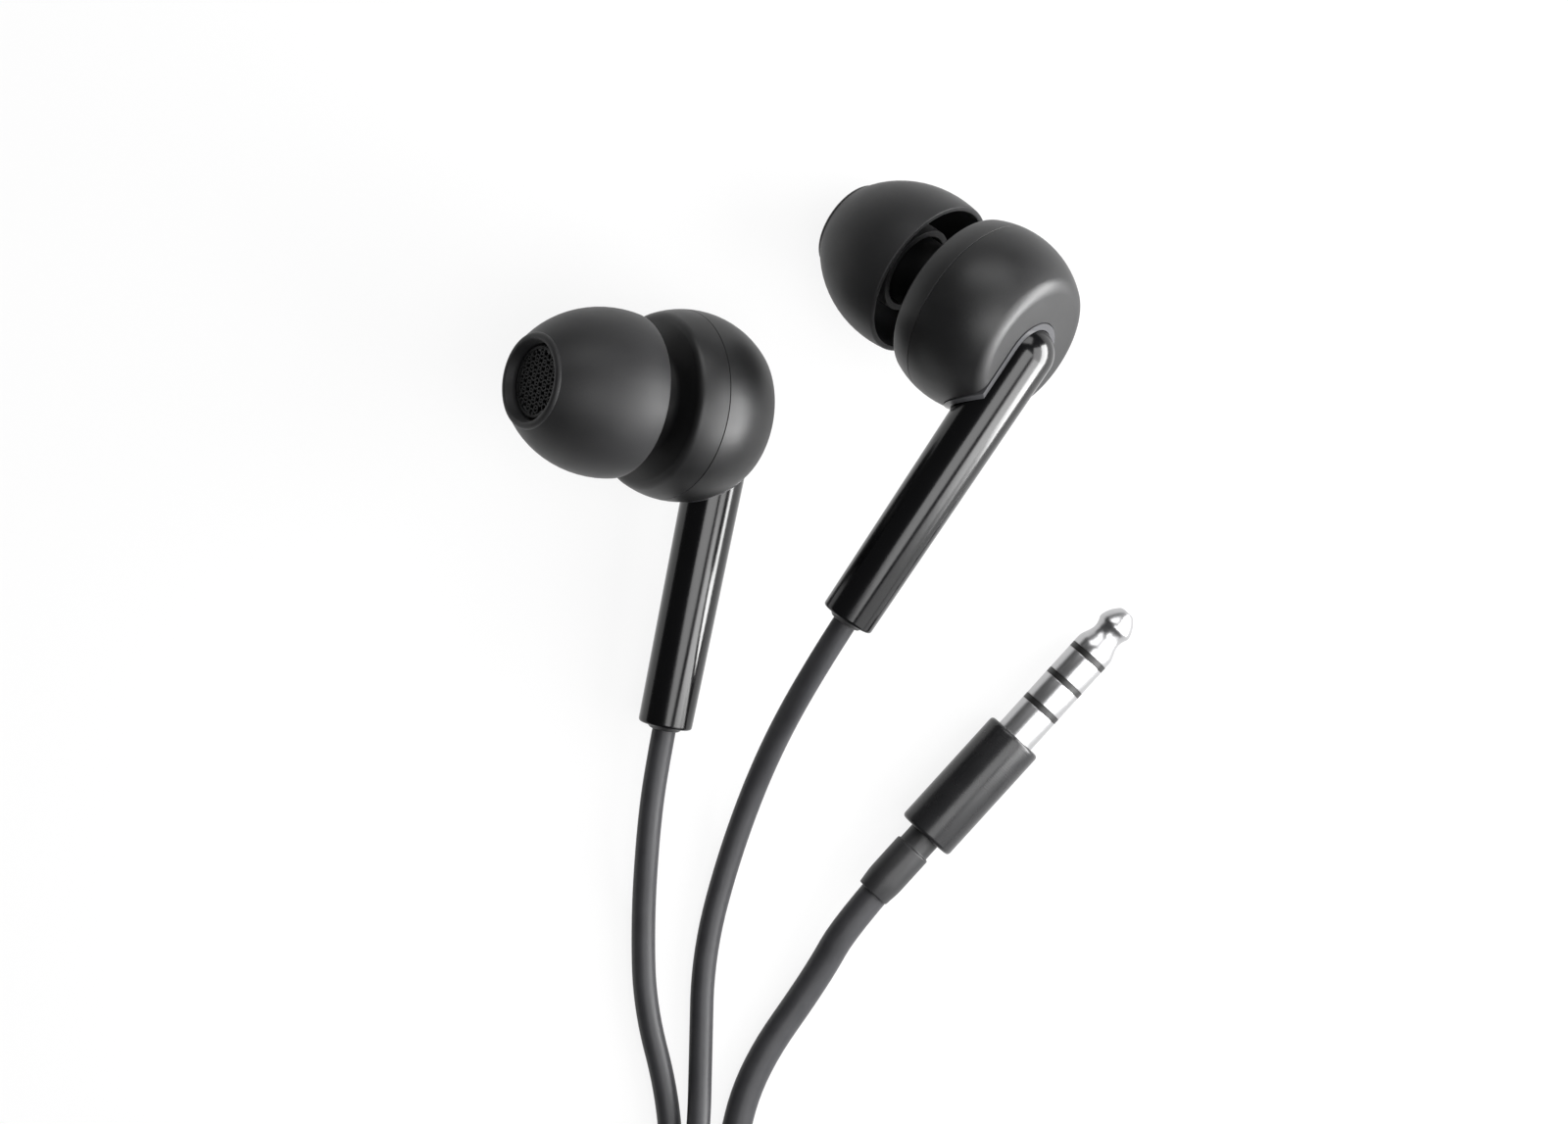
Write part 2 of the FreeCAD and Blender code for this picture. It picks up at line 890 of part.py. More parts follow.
def driver_leads(side, place):
    """The two lead wires from the knot up the stem and through the housing to the board."""
    shapes = []
    radius = size.lead_radius.value
    axis = -size.stem_setback.value
    for hand in (-0.5, 0.5):
        offset = hand * size.lead_spacing.value
        points = [
            Vector((knot_face + size.knot_length).value, offset, axis),
            Vector(-size.lead_hole_at.value, offset, axis),
            Vector(-size.lead_hole_at.value, offset, board_back.value),
        ]
        wire = bent_path(points, [size.lead_bend.value])
        shapes.append(pipe(wire, points[0], points[1] - points[0], radius))
    feature = doc.addObject("Part::Feature", f"{side}_driver_leads")
    feature.Shape = Part.makeCompound(shapes)
    keep(f"{side}_driver_leads", feature, place)


def bud_place(side):
    """Where a bud lies: its tip and stem point as measured, and its lowest point is on the table."""
    heading = math.radians(getattr(size, f"{side}_tip_angle").value)
    rise = math.radians(getattr(size, f"{side}_rise_angle").value)
    course = math.radians(getattr(size, f"{side}_stem_angle").value)
    tip_way = Vector(
        math.cos(heading) * math.cos(rise),
        math.sin(heading) * math.cos(rise),
        math.sin(rise),
    )
    level = Vector(math.cos(course), math.sin(course), 0)
    stem_way = Vector(level.x, level.y, -level.dot(tip_way) / tip_way.z).normalize()
    turn = FreeCAD.Rotation(-stem_way, tip_way.cross(-stem_way), tip_way, "ZXY")
    rim = Vector(size.tip_rim_radius.value, tip_rim_height.value, 0)
    shoulder = Vector(size.tip_front_radius.value, (tip_front - size.tip_front_round).value, 0)
    dome = arc_centre(rim, shoulder, size.tip_dome_curve.value)
    dome_depth = dome.x * math.cos(rise) - dome.y * tip_way.z + size.tip_dome_curve.value
    height = max(size.housing_radius.value, dome_depth)
    across = getattr(size, f"{side}_bud_across").value
    along = getattr(size, f"{side}_bud_along").value
    return FreeCAD.Placement(Vector(across, along, height), turn)


def bud(side):
    """All pieces of one bud."""
    place = bud_place(side)
    for piece in (
        front_shell,
        rear_shell,
        stem_collar,
        stem,
        stem_bushing,
        cord_knot,
        nozzle_mesh,
        ear_tip,
        driver,
        driver_leads,
    ):
        piece(side, place)
    return place


def plug_place():
    """The plug lies level on the table on its barrel, and its pin points along its own Z."""
    angle = math.radians(size.plug_angle.value)
    pin_way = Vector(math.cos(angle), math.sin(angle), 0)
    turn = FreeCAD.Rotation(Vector(0, 0, -1), pin_way.cross(Vector(0, 0, -1)), pin_way, "ZXY")
    spot = Vector(size.plug_across.value, size.plug_along.value, size.barrel_radius.value)
    return FreeCAD.Placement(spot, turn)


def plug():
    """The pin's four contacts and three insulators on a core, the barrel and the strain relief."""
    place = plug_place()
    half = size.insulator_width / 2
    middles = (size.first_insulator_at, size.second_insulator_at, size.third_insulator_at)
    bore = size.pin_bore_radius
    neck_curve = size.pin_radius
    turned(
        "jack_tip",
        place,
        [
            (bore, size.third_insulator_at + half),
            (size.pin_radius, size.third_insulator_at + half),
            (size.pin_radius, size.third_insulator_at + half * 4),
            (size.tip_neck_radius, size.tip_neck_at),
            (size.tip_bulge_radius, size.tip_bulge_at, -neck_curve),
            (size.tip_nose_radius, size.pin_length, size.pin_length / 5),
            (0, size.pin_length),
            (0, size.tip_neck_at),
            (bore, size.tip_neck_at),
        ],
    )
    for label, back, front in (("jack_ring_front", 1, 2), ("jack_ring_rear", 0, 1)):
        turned(
            label,
            place,
            [
                (bore, middles[back] + half),
                (size.pin_radius, middles[back] + half),
                (size.pin_radius, middles[front] - half),
                (bore, middles[front] - half),
            ],
        )
    flange_back = -size.flange_length
    turned(
        "jack_sleeve",
        place,
        [
            (bore, flange_back),
            (size.flange_radius, flange_back),
            (size.flange_radius, 0),
            (size.pin_radius, 0),
            (size.pin_radius, size.first_insulator_at - half),
            (bore, size.first_insulator_at - half),
        ],
    )
    rings = []
    for number, middle in enumerate(middles, 1):
        ring = doc.addObject("Part::Cut", f"jack_insulator_{number}")
        level, width = middle - half, size.insulator_width
        ring.Base = cylinder(f"insulator_disc_{number}", size.pin_radius, width, level)
        ring.Tool = cylinder(f"insulator_bore_{number}", bore, width, level)
        rings.append(ring)
    group = doc.addObject("Part::Compound", "jack_insulators")
    group.Links = rings
    keep("jack_insulators", group, place)
    core_front = size.tip_neck_at - size.fit_gap
    core_radius = bore - size.cord_hole_gap
    turned(
        "jack_core",
        place,
        [
            (0, core_front - size.core_length),
            (core_radius, core_front - size.core_length),
            (core_radius, core_front),
            (0, core_front),
        ],
    )
    plug_barrel(place)
    plug_strain_relief(place)
    return place


def cylinder(label, radius, height, level):
    """A cylinder round Z that starts at a level."""
    thing = doc.addObject("Part::Cylinder", label)
    bind(thing, "Radius", radius)
    bind(thing, "Height", height)
    bind(thing, "Placement.Base.z", level)
    return thing


relief_bore = size.trunk_cord_diameter / 2 + size.cord_hole_gap


def plug_barrel(place):
    """The turned barrel: a sleeve over the pin's flange, with a hole for the relief behind."""
    edge = size.barrel_chamfer
    back = -size.barrel_length
    cavity = size.barrel_radius - size.barrel_wall
    neck_hole = size.relief_neck_radius + size.cord_hole_gap
    turned(
        "plug_barrel",
        place,
        [
            (cavity, 0),
            (cavity, back + size.barrel_end_wall),
            (neck_hole, back + size.barrel_end_wall),
            (neck_hole, back),
            (size.barrel_radius - edge, back),
            (size.barrel_radius, back + edge),
            (size.barrel_radius, -edge),
            (size.barrel_radius - edge, 0),
        ],
    )


def plug_strain_relief(place):
    """The moulded relief: a flange in the barrel, a neck, a thicker sleeve and a tapered end."""
    back = -size.barrel_length
    inside = back + size.barrel_end_wall
    neck_back = back - size.relief_neck_length
    taper_at = neck_back - size.relief_length
    turned(
        "plug_strain_relief",
        place,
        [
            (relief_bore, inside + size.relief_flange_length),
            (relief_bore, taper_at - size.relief_taper_length),
            (size.relief_end_radius, taper_at - size.relief_taper_length),
            (size.relief_radius, taper_at),
            (size.relief_radius, neck_back),
            (size.relief_neck_radius, neck_back),
            (size.relief_neck_radius, inside),
            (size.relief_flange_radius, inside),
            (size.relief_flange_radius, inside + size.relief_flange_length),
        ],
    )


def junction_place():
    return FreeCAD.Placement(
        Vector(size.junction_across.value, size.junction_along.value, 0), FreeCAD.Rotation()
    )


def outer_edges(shape, level):
    """The names of the edges of a shape that lie wholly at a level."""
    names = []
    for number, edge in enumerate(shape.Edges, 1):
        box = edge.BoundBox
        if abs(box.ZMin - level) < 1e-4 and abs(box.ZMax - level) < 1e-4:
            names.append(f"Edge{number}")
    return names


def case_half(label, place, upper):
    """One half of the junction's case, with its cavity and its halves of the cord holes."""
    middle = size.junction_height / 2
    body = new_body(label, place)
    drawing = new_sketch(body, f"{label}_outline", "XY_Plane", ("z", middle))
    outer = rounded_rectangle(size.junction_length, size.junction_width, size.junction_corner)
    add_outline(drawing, outer)
    block = pad(body, drawing, middle, reverse=not upper)
    doc.recompute()
    face = size.junction_height.value if upper else 0.0
    soft = body.newObject("PartDesign::Fillet", f"{label}_edge_round")
    soft.Base = (block, outer_edges(block.Shape, face))
    bind(soft, "Radius", size.junction_edge_round)
    doc.recompute()
    room = new_sketch(body, f"{label}_cavity", "XY_Plane", ("z", middle))
    inner = rounded_rectangle(
        size.junction_length - size.junction_end_wall * 2,
        size.junction_width - size.junction_wall * 2,
        size.junction_corner - size.junction_wall,
    )
    add_outline(room, inner)
    pocket(body, room, depth=middle - size.junction_wall, reverse=upper)
    half_length = size.junction_length / 2
    bud_hole = size.bud_cord_diameter / 2 + size.cord_hole_gap
    bud_end = new_sketch(body, f"{label}_bud_cord_holes", "YZ_Plane", None)
    for hand in (-0.5, 0.5):
        add_circle(bud_end, size.bud_cord_spacing * hand, middle, bud_hole)
    pocket(body, bud_end, depth=half_length)
    trunk_end = new_sketch(body, f"{label}_trunk_hole", "YZ_Plane", None)
    add_circle(trunk_end, 0, middle, relief_bore)
    pocket(body, trunk_end, depth=half_length, reverse=True)
    return body


def junction():
    """The case at the junction, with its button, board, switch and microphone."""
    place = junction_place()
    middle = size.junction_height / 2
    upper = case_half("junction_upper_case", place, True)
    case_half("junction_lower_case", place, False)
    hole_length = size.button_length + size.fit_gap * 2
    hole_width = size.button_width + size.fit_gap * 2
    opening = new_sketch(upper, "button_opening", "XY_Plane", ("z", middle))
    add_outline(opening, rounded_rectangle(hole_length, hole_width, hole_width / 2 - 0.01))
    pocket(upper, opening, reverse=True)
    sound = new_sketch(upper, "sound_hole", "XY_Plane", ("z", middle))
    add_circle(sound, size.microphone_at, 0, size.sound_hole_radius)
    pocket(upper, sound, reverse=True)
    flange_top = size.junction_height - size.junction_wall - size.fit_gap
    flange_bottom = flange_top - size.button_flange_thickness
    board_top = size.junction_wall + size.circuit_thickness
    switch_top = board_top + size.switch_height
    foot_bottom = switch_top + size.button_travel + size.fit_gap
    button = new_body("remote_button", place)
    flange = new_sketch(button, "button_flange_outline", "XY_Plane", ("z", flange_bottom))
    flange_width = size.button_width + size.button_flange * 2
    add_outline(
        flange,
        rounded_rectangle(
            size.button_length + size.button_flange * 2, flange_width, flange_width / 2 - 0.01
        ),
    )
    pad(button, flange, size.button_flange_thickness)
    cap = new_sketch(button, "button_cap_outline", "XY_Plane", ("z", flange_bottom))
    add_outline(
        cap, rounded_rectangle(size.button_length, size.button_width, size.button_width / 2 - 0.01)
    )
    cap_height = size.junction_height + size.button_proud - flange_bottom
    pad(button, cap, cap_height)
    foot = new_sketch(button, "button_foot_outline", "XY_Plane", ("z", foot_bottom))
    add_circle(foot, 0, 0, size.button_foot_radius)
    pad(button, foot, flange_bottom - foot_bottom + size.button_flange_thickness / 2)
    board = new_body("remote_board", place)
    board_outline = new_sketch(board, "remote_board_outline", "XY_Plane", ("z", size.junction_wall))
    add_outline(board_outline, rectangle(size.circuit_length, size.circuit_width))
    pad(board, board_outline, size.circuit_thickness)
    switch = new_body("remote_switch", place)
    switch_outline = new_sketch(switch, "remote_switch_outline", "XY_Plane", ("z", board_top))
    add_outline(switch_outline, rectangle(size.switch_side, size.switch_side))
    pad(switch, switch_outline, size.switch_height)
    microphone = new_body("microphone", place)
    can = new_sketch(microphone, "microphone_outline", "XY_Plane", ("z", board_top))
    add_circle(can, size.microphone_at, 0, size.microphone_radius)
    pad(microphone, can, size.microphone_height)
    return place


class Coil:
    """A put-away coil: turns that spiral in and out at a steady rate and climb a layer at each reversal."""

    def __init__(self, centre, inner, pitch, eighths, layers, base, start, hand):
        self.centre = centre
        self.inner = inner
        self.pitch = pitch
        self.turn = 2 * math.pi * eighths / 8
        self.layers = layers
        self.per_layer = self.turn / layers
        self.width = pitch * self.per_layer / (2 * math.pi)
        self.base = base
        self.start = math.radians(start)
        self.hand = hand

    def point(self, along):
        """The coil's centreline at an angle along it, from 0 to its whole turn."""
        phase = math.pi * along / self.per_layer
        blend = 0.995
        swing = math.asin(blend * math.cos(phase)) / math.asin(blend)
        radius = self.inner + self.width * (1 + swing) / 2
        level = self.base
        for layer in range(1, self.layers):
            past = (along - layer * self.per_layer) / (math.pi / 2)
            past = max(-1.0, min(1.0, past))
            level += self.pitch * (1 + math.sin(past * math.pi / 2)) / 2
        angle = self.start + self.hand * along
        return self.centre + Vector(radius * math.cos(angle), radius * math.sin(angle), level)

    def way(self, along):
        """The direction of travel at an angle along the coil. At both ends it is level and square on."""
        angle = self.start + self.hand * along
        square = Vector(-math.sin(angle), math.cos(angle), 0) * self.hand
        if along <= 0 or along >= self.turn:
            return square
        step = 1e-3
        return (self.point(along + step) - self.point(along - step)).normalize()

    def ends(self, lead):
        """The first and last point of the tube, one straight lead before and after the turns."""
        first = self.point(0) - self.way(0) * lead
        last = self.point(self.turn) + self.way(self.turn) * lead
        return first, last

    def wire(self, lead):
        """The tube's path: a straight lead, two arcs to each quarter turn, and a straight lead."""
        steps = round(self.turn / (math.pi / 2))
        marks = [self.turn * step / steps for step in range(steps + 1)]
        first, last = self.ends(lead)
        edges = [Part.LineSegment(first, self.point(0)).toShape()]
        for start, end in zip(marks, marks[1:], strict=False):
            edges += two_arcs(self.point(start), self.way(start), self.point(end), self.way(end))
        edges.append(Part.LineSegment(self.point(self.turn), last).toShape())
        return Part.Wire(edges)


def two_arcs(start, start_way, end, end_way):
    """Two tangent arcs that leave start along one direction and reach end along another."""
    chord = end - start
    both = start_way + end_way
    square = 2 * (1 - start_way.dot(end_way))
    linear = 2 * chord.dot(both)
    if square < 1e-9:
        reach = chord.dot(chord) / linear
    else:
        reach = (math.sqrt(linear * linear + 4 * square * chord.dot(chord)) - linear) / (2 * square)
    first_corner = start + start_way * reach
    last_corner = end - end_way * reach
    joint = (first_corner + last_corner) * 0.5
    edges = []
    for near, corner, far in ((start, first_corner, joint), (joint, last_corner, end)):
        weight = (far - near).Length / 2 / reach
        middle = (near + corner * (2 * weight) + far) * (1 / (2 + 2 * weight))
        edges.append(Part.Arc(near, middle, far).toShape())
    return edges


def least_gap(wire, diameter):
    """The least gap of a tube to itself, from points along its path further apart than half a turn."""
    step = 0.7
    apart = 12 * diameter
    points = wire.discretize(Number=int(wire.Length / step))
    skip = int(apart / step)
    least = min(
        point.distanceToPoint(other)
        for number, point in enumerate(points)
        for other in points[number + skip :]
    )
    return least - diameter


def coil(label, turns, diameter):
    """Files a coil's tube, with its least gap to itself printed."""
    wire = turns.wire(diameter)
    first, _ = turns.ends(diameter)
    tube(label, wire, first, turns.way(0), diameter)
    gap = least_gap(wire, diameter)
    outside = 2 * (turns.inner + turns.width) + diameter
    print(f"{label}: least gap {gap:.2f} mm, {outside:.1f} mm across, {turns.layers} layers")


def stem_exit(place, past):
    """The point on a bud's stem axis that is some way past the stem's end."""
    along = -(size.stem_length.value + past)
    return place.multVec(Vector(along, 0, -size.stem_setback.value))


def cords(left, right, plug_frame, case_frame):
    """All stretches and coils of cord, from the buds to the junction and on to the plug."""
    bud_diameter = size.bud_cord_diameter.value
    trunk_diameter = size.trunk_cord_diameter.value
    bud_lay = bud_diameter / 2
    trunk_lay = trunk_diameter / 2
    bud_pitch = bud_diameter + size.turn_gap.value
    trunk_pitch = trunk_diameter + size.turn_gap.value
    pile = Vector(size.pile_across.value, size.pile_along.value, 0)
    left_turns = Coil(
        pile, size.pile_inner_radius.value, bud_pitch, PILE_EIGHTHS, PILE_LAYERS, bud_lay, 0, -1
    )
    right_turns = Coil(
        pile,
        size.pile_inner_radius.value,
        bud_pitch,
        PILE_EIGHTHS,
        PILE_LAYERS,
        bud_lay + PILE_LAYERS * bud_pitch,
        0,
        -1,
    )
    trunk_turns = Coil(
        Vector(size.trunk_coil_across.value, size.trunk_coil_along.value, 0),
        size.trunk_coil_inner_radius.value,
        trunk_pitch,
        TRUNK_EIGHTHS,
        TRUNK_LAYERS,
        trunk_lay,
        180,
        1,
    )
    coil("left_cord_coil", left_turns, bud_diameter)
    coil("right_cord_coil", right_turns, bud_diameter)
    coil("trunk_coil", trunk_turns, trunk_diameter)
    left_in, left_out = left_turns.ends(bud_diameter)
    right_in, right_out = right_turns.ends(bud_diameter)
    trunk_in, trunk_out = trunk_turns.ends(trunk_diameter)
    inset = -size.bushing_length.value - 0.3

    cord(
        "left_cord",
        [
            stem_exit(left, inset),
            stem_exit(left, 4.0),
            Vector(-12.158, -31.879, 2.3),
            Vector(-12.602, -38.879, 1.2),
            Vector(-12.449, -45.979, bud_lay),
            Vector(-10.531, -53.279, bud_lay),
            Vector(-10.08, -59.879, bud_lay),
            Vector(left_in.x, -66.379, bud_lay),
            left_in,
        ],
        bud_diameter,
    )
    cord(
        "right_cord",
        [
            stem_exit(right, inset),
            stem_exit(right, 4.0),
            Vector(-1.987, -24.379, 3.4),
            Vector(-5.24, -32.879, 1.2),
            Vector(-7.541, -41.579, bud_lay),
            Vector(-7.734, -49.979, bud_lay),
            Vector(-7.886, -57.021, 2.2),
            Vector(right_in.x, -63.521, right_in.z),
            right_in,
        ],
        bud_diameter,
    )
    case_end = size.junction_length.value / 2
    case_inside = case_end - size.junction_end_wall.value
    case_middle = size.junction_height.value / 2
    hole_off = size.bud_cord_spacing.value / 2
    junction = Vector(size.junction_across.value, size.junction_along.value, 0)
    cord(
        "left_cord_tail",
        [
            left_out,
            left_out + left_turns.way(left_turns.turn) * 4.5,
            junction + Vector(-13.3, 19.4, 1.5),
            junction + Vector(-21.7, 14.8, bud_lay),
            junction + Vector(-22.7, 6.2, bud_lay),
            case_frame.multVec(Vector(-case_end - 6.2, -hole_off, case_middle)),
            case_frame.multVec(Vector(-case_inside, -hole_off, case_middle)),
        ],
        bud_diameter,
    )
    cord(
        "right_cord_tail",
        [
            right_out,
            right_out + right_turns.way(right_turns.turn) * 4.5,
            junction + Vector(-11.5, 18.0, 4.9),
            junction + Vector(-18.262, 11.542, 1.55),
            junction + Vector(-18.1, 5.3, bud_lay),
            case_frame.multVec(Vector(-case_end - 4.1, hole_off, case_middle)),
            case_frame.multVec(Vector(-case_inside, hole_off, case_middle)),
        ],
        bud_diameter,
    )
    cord(
        "trunk_tail",
        [
            trunk_out,
            trunk_out + trunk_turns.way(trunk_turns.turn) * 5.5,
            junction + Vector(20.65, 11.4, 7.3),
            junction + Vector(20.2, 4.7, 3.9),
            case_frame.multVec(Vector(case_end + 4.2, 0, case_middle)),
            case_frame.multVec(Vector(case_inside, 0, case_middle)),
        ],
        trunk_diameter,
    )
    pin_back = -(size.barrel_length - size.barrel_end_wall - size.relief_flange_length).value
    relief_end = -(
        size.barrel_length
        + size.relief_neck_length
        + size.relief_length
        + size.relief_taper_length
    ).value
    cord(
        "trunk_cord",
        [
            trunk_in,
            Vector(trunk_in.x, -66.021, trunk_lay),
            Vector(-5.249, -57.879, trunk_lay),
            Vector(-3.352, -51.079, trunk_lay),
            Vector(2.031, -43.479, trunk_lay),
            plug_frame.multVec(Vector(0, 0, relief_end - 3.0)),
            plug_frame.multVec(Vector(0, 0, pin_back)),
        ],
        trunk_diameter,
    )


def main():
    left = bud("left")
    right = bud("right")
    plug_frame = plug()
    case_frame = junction()
    cords(left, right, plug_frame, case_frame)
    doc.recompute()
    for thing in doc.Objects:
        for state in ("Invalid", "Error"):
            if state in thing.State:
                raise ValueError(f"{thing.Label}: {state}")
    os.makedirs("parts", exist_ok=True)
    for label, thing in nodes.items():
        shape = thing.Shape
        if shape.isNull() or not shape.isValid():
            raise ValueError(f"{label} has no valid shape")
        shape.exportStep(f"parts/{label}.step")
    print(f"{len(nodes)} nodes written")


main()
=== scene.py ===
"""Looks of the wired earphones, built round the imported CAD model.

Sizes are in millimetres until a mesh is made; meshes are in metres, in the CAD model's own frame.
"""

import logging
import math
from collections.abc import Sequence
from dataclasses import dataclass
from enum import Enum

import bmesh
import bpy
from mathutils import Matrix, Vector


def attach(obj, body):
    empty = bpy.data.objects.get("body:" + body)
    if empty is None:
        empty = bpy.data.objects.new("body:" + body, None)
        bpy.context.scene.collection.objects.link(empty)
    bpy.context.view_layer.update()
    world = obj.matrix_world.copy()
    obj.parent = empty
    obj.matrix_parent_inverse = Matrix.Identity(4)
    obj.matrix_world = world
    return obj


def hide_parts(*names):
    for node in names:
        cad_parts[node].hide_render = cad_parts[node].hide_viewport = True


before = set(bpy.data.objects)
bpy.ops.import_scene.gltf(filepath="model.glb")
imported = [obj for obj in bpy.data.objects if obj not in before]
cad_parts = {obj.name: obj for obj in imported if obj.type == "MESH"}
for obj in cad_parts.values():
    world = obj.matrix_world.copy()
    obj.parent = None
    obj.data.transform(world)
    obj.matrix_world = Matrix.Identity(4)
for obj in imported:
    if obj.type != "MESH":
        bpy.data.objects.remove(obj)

LOG = logging.getLogger("earphones")
MM = 0.001
TURN = 2 * math.pi
# Faces that meet at more than this stay sharp: on a made mesh, and on a CAD node's
SHARP_EDGE = math.radians(32)
CAD_SHARP_EDGE = math.radians(28)
# Degrees between two points of an outline's arc, and steps round its soft corners
ARC_STEP = 4
SOFT_STEPS = 5
# Steps round a turned piece: small, usual, large, the most exposed and a cutting ball
ROUND_SMALL, ROUND_USUAL, ROUND_LARGE, ROUND_FINE, ROUND_TOOL = 64, 96, 128, 160, 192
# Corners of a CAD node's mesh that are nearer than this, in metres, are one
CAD_WELD = 1e-6
# A point of an outline that is nearer to the axis than this lies on it
ON_AXIS = 1e-6
# The space between two turns of a coil
COIL_GAP = 0.46
# The distance between two lines of a wave texture whose scale is 1
WAVE_PERIOD = 0.314

Mesh = bpy.types.Mesh
Socket = bpy.types.NodeSocket
Sockets = bpy.types.bpy_prop_collection
Tree = bpy.types.NodeTree


class Side(Enum):
    """Which ear a bud is for."""

    LEFT = "left"
    RIGHT = "right"


class Body(Enum):
    """The CAD bodies that pieces ride on."""

    MAIN = "earphones"
    LEFT_TIP = "left_tip"
    RIGHT_TIP = "right_tip"


def linear(code: str) -> tuple[float, float, float, float]:
    """Turns an sRGB hex colour to linear values.

    Args:
        code: the colour as six hex digits after a #.

    Returns:
        Red, green, blue and an alpha of 1.
    """
    shares = [int(code[at : at + 2], 16) / 255 for at in (1, 3, 5)]
    values = [s / 12.92 if s <= 0.04045 else ((s + 0.055) / 1.055) ** 2.4 for s in shares]
    return values[0], values[1], values[2], 1.0


def empty_tree(owner: bpy.types.Material | bpy.types.World) -> Tree:
    """Turns on the nodes of a material or a world, and clears them.

    Args:
        owner: the material or world.

    Returns:
        Its tree.
    """
    owner.use_nodes = True
    owner.node_tree.nodes.clear()
    return owner.node_tree


def add_node(
    tree: Tree, kind: str, settings: dict | None = None, links: dict | None = None
) -> bpy.types.Node:
    """Adds one node with its settings and links.

    Args:
        tree: the tree that gets the node.
        kind: the node's type name.
        settings: values by input name or number, or by the node's own property name.
        links: sockets to connect, by input name or number.

    Returns:
        The new node.
    """
    node = tree.nodes.new(kind)
    for name, value in (settings or {}).items():
        if isinstance(name, int) or name in node.inputs:
            node.inputs[name].default_value = value
        else:
            setattr(node, name, value)
    for name, socket in (links or {}).items():
        tree.links.new(socket, node.inputs[name])
    return node


@dataclass(frozen=True)
class Finish:
    """What every finish has: a colour, a gloss and a fine relief, all on real sizes in mm."""

    name: str
    colour: str
    roughness: float
    second_colour: str | None = None
    metallic: float = 0.0
    specular: float = 0.5
    sheen: float = 0.0
    alpha: float = 1.0
    mottle_mm: float = 2.5
    mottle_low: float = 0.3
    mottle_high: float = 0.7
    mottle_share: float = 0.5
    roughness_swing: float = 0.06
    grain_mm: float = 0.12
    grain_height_mm: float = 0.004
    noise_detail: float = 3.0

    def build(self) -> bpy.types.Material:
        """Makes the material: mottled colour and gloss, and a fine relief.

        Returns:
            The material, made once and found again by name.
        """
        known = bpy.data.materials.get(self.name)
        if known is not None:
            return known
        material = bpy.data.materials.new(self.name)
        tree = empty_tree(material)
        place = add_node(tree, "ShaderNodeTexCoord")
        place_mm = add_node(
            tree,
            "ShaderNodeVectorMath",
            {"operation": "SCALE", "Scale": 1 / MM},
            {0: place.outputs["Object"]},
        )
        pattern = self.pattern(tree, place_mm.outputs[0])
        base, other = linear(self.colour), linear(self.second_colour or self.colour)
        tint = add_node(
            tree, "ShaderNodeMix", {"data_type": "RGBA", 6: base, 7: other}, {0: pattern}
        )
        gloss = add_node(
            tree,
            "ShaderNodeMapRange",
            {3: self.roughness - self.roughness_swing, 4: self.roughness + self.roughness_swing},
            {0: pattern},
        )
        relief = add_node(
            tree,
            "ShaderNodeBump",
            {"Strength": 1.0, "Distance": self.grain_height_mm * MM},
            {"Height": self.relief(tree, place_mm.outputs[0])},
        )
        surface = add_node(
            tree,
            "ShaderNodeBsdfPrincipled",
            {
                "Metallic": self.metallic,
                "Specular IOR Level": self.specular,
                "Sheen Weight": self.sheen,
                "Alpha": self.alpha,
            },
            {
                "Base Color": tint.outputs[2],
                "Roughness": gloss.outputs[0],
                "Normal": relief.outputs[0],
            },
        )
        add_node(tree, "ShaderNodeOutputMaterial", None, {"Surface": surface.outputs[0]})
        return material

    def mottle(self, tree: Tree, field: Socket) -> Socket:
        """Spreads a field's middle values, so that they reach from 0 to the mottle's share.

        Args:
            tree: the material's tree.
            field: values from 0 to 1.

        Returns:
            The spread values.
        """
        span = {1: self.mottle_low, 2: self.mottle_high, 4: self.mottle_share}
        return add_node(tree, "ShaderNodeMapRange", span, {0: field}).outputs[0]

    def pattern(self, tree: Tree, vector: Socket) -> Socket:
        """Says where the second colour and the duller gloss show.

        Args:
            tree: the material's tree.
            vector: the place in millimetres.

        Returns:
            A value from 0 to the mottle's share.
        """
        settings = {"Scale": 1 / self.mottle_mm, "Detail": self.noise_detail}
        noise = add_node(tree, "ShaderNodeTexNoise", settings, {"Vector": vector})
        return self.mottle(tree, noise.outputs[0])

    def relief(self, tree: Tree, vector: Socket) -> Socket:
        """Gives the height of the surface's grain.

        Args:
            tree: the material's tree.
            vector: the place in millimetres.

        Returns:
            A value from 0 to 1.
        """
        settings = {"Scale": 1 / self.grain_mm, "Detail": self.noise_detail}
        return add_node(tree, "ShaderNodeTexNoise", settings, {"Vector": vector}).outputs[0]


@dataclass(frozen=True)
class BandedFinish(Finish):
    """A finish with lines that run round or along: turned metal or a winding."""

    line_mm: float = 0.2
    heading: float | None = None

    def relief(self, tree: Tree, vector: Socket) -> Socket:
        """Gives the height of the lines, which lie level, or square to a heading.

        Args:
            tree: the material's tree.
            vector: the place in millimetres.

        Returns:
            A value from 0 to 1.
        """
        direction = "Z"
        if self.heading is not None:
            direction = "X"
            turn = {"rotation_type": "Z_AXIS", "Angle": -math.radians(self.heading)}
            vector = add_node(tree, "ShaderNodeVectorRotate", turn, {"Vector": vector}).outputs[0]
        settings = {"bands_direction": direction, "Scale": WAVE_PERIOD / self.line_mm}
        return add_node(tree, "ShaderNodeTexWave", settings, {"Vector": vector}).outputs[1]


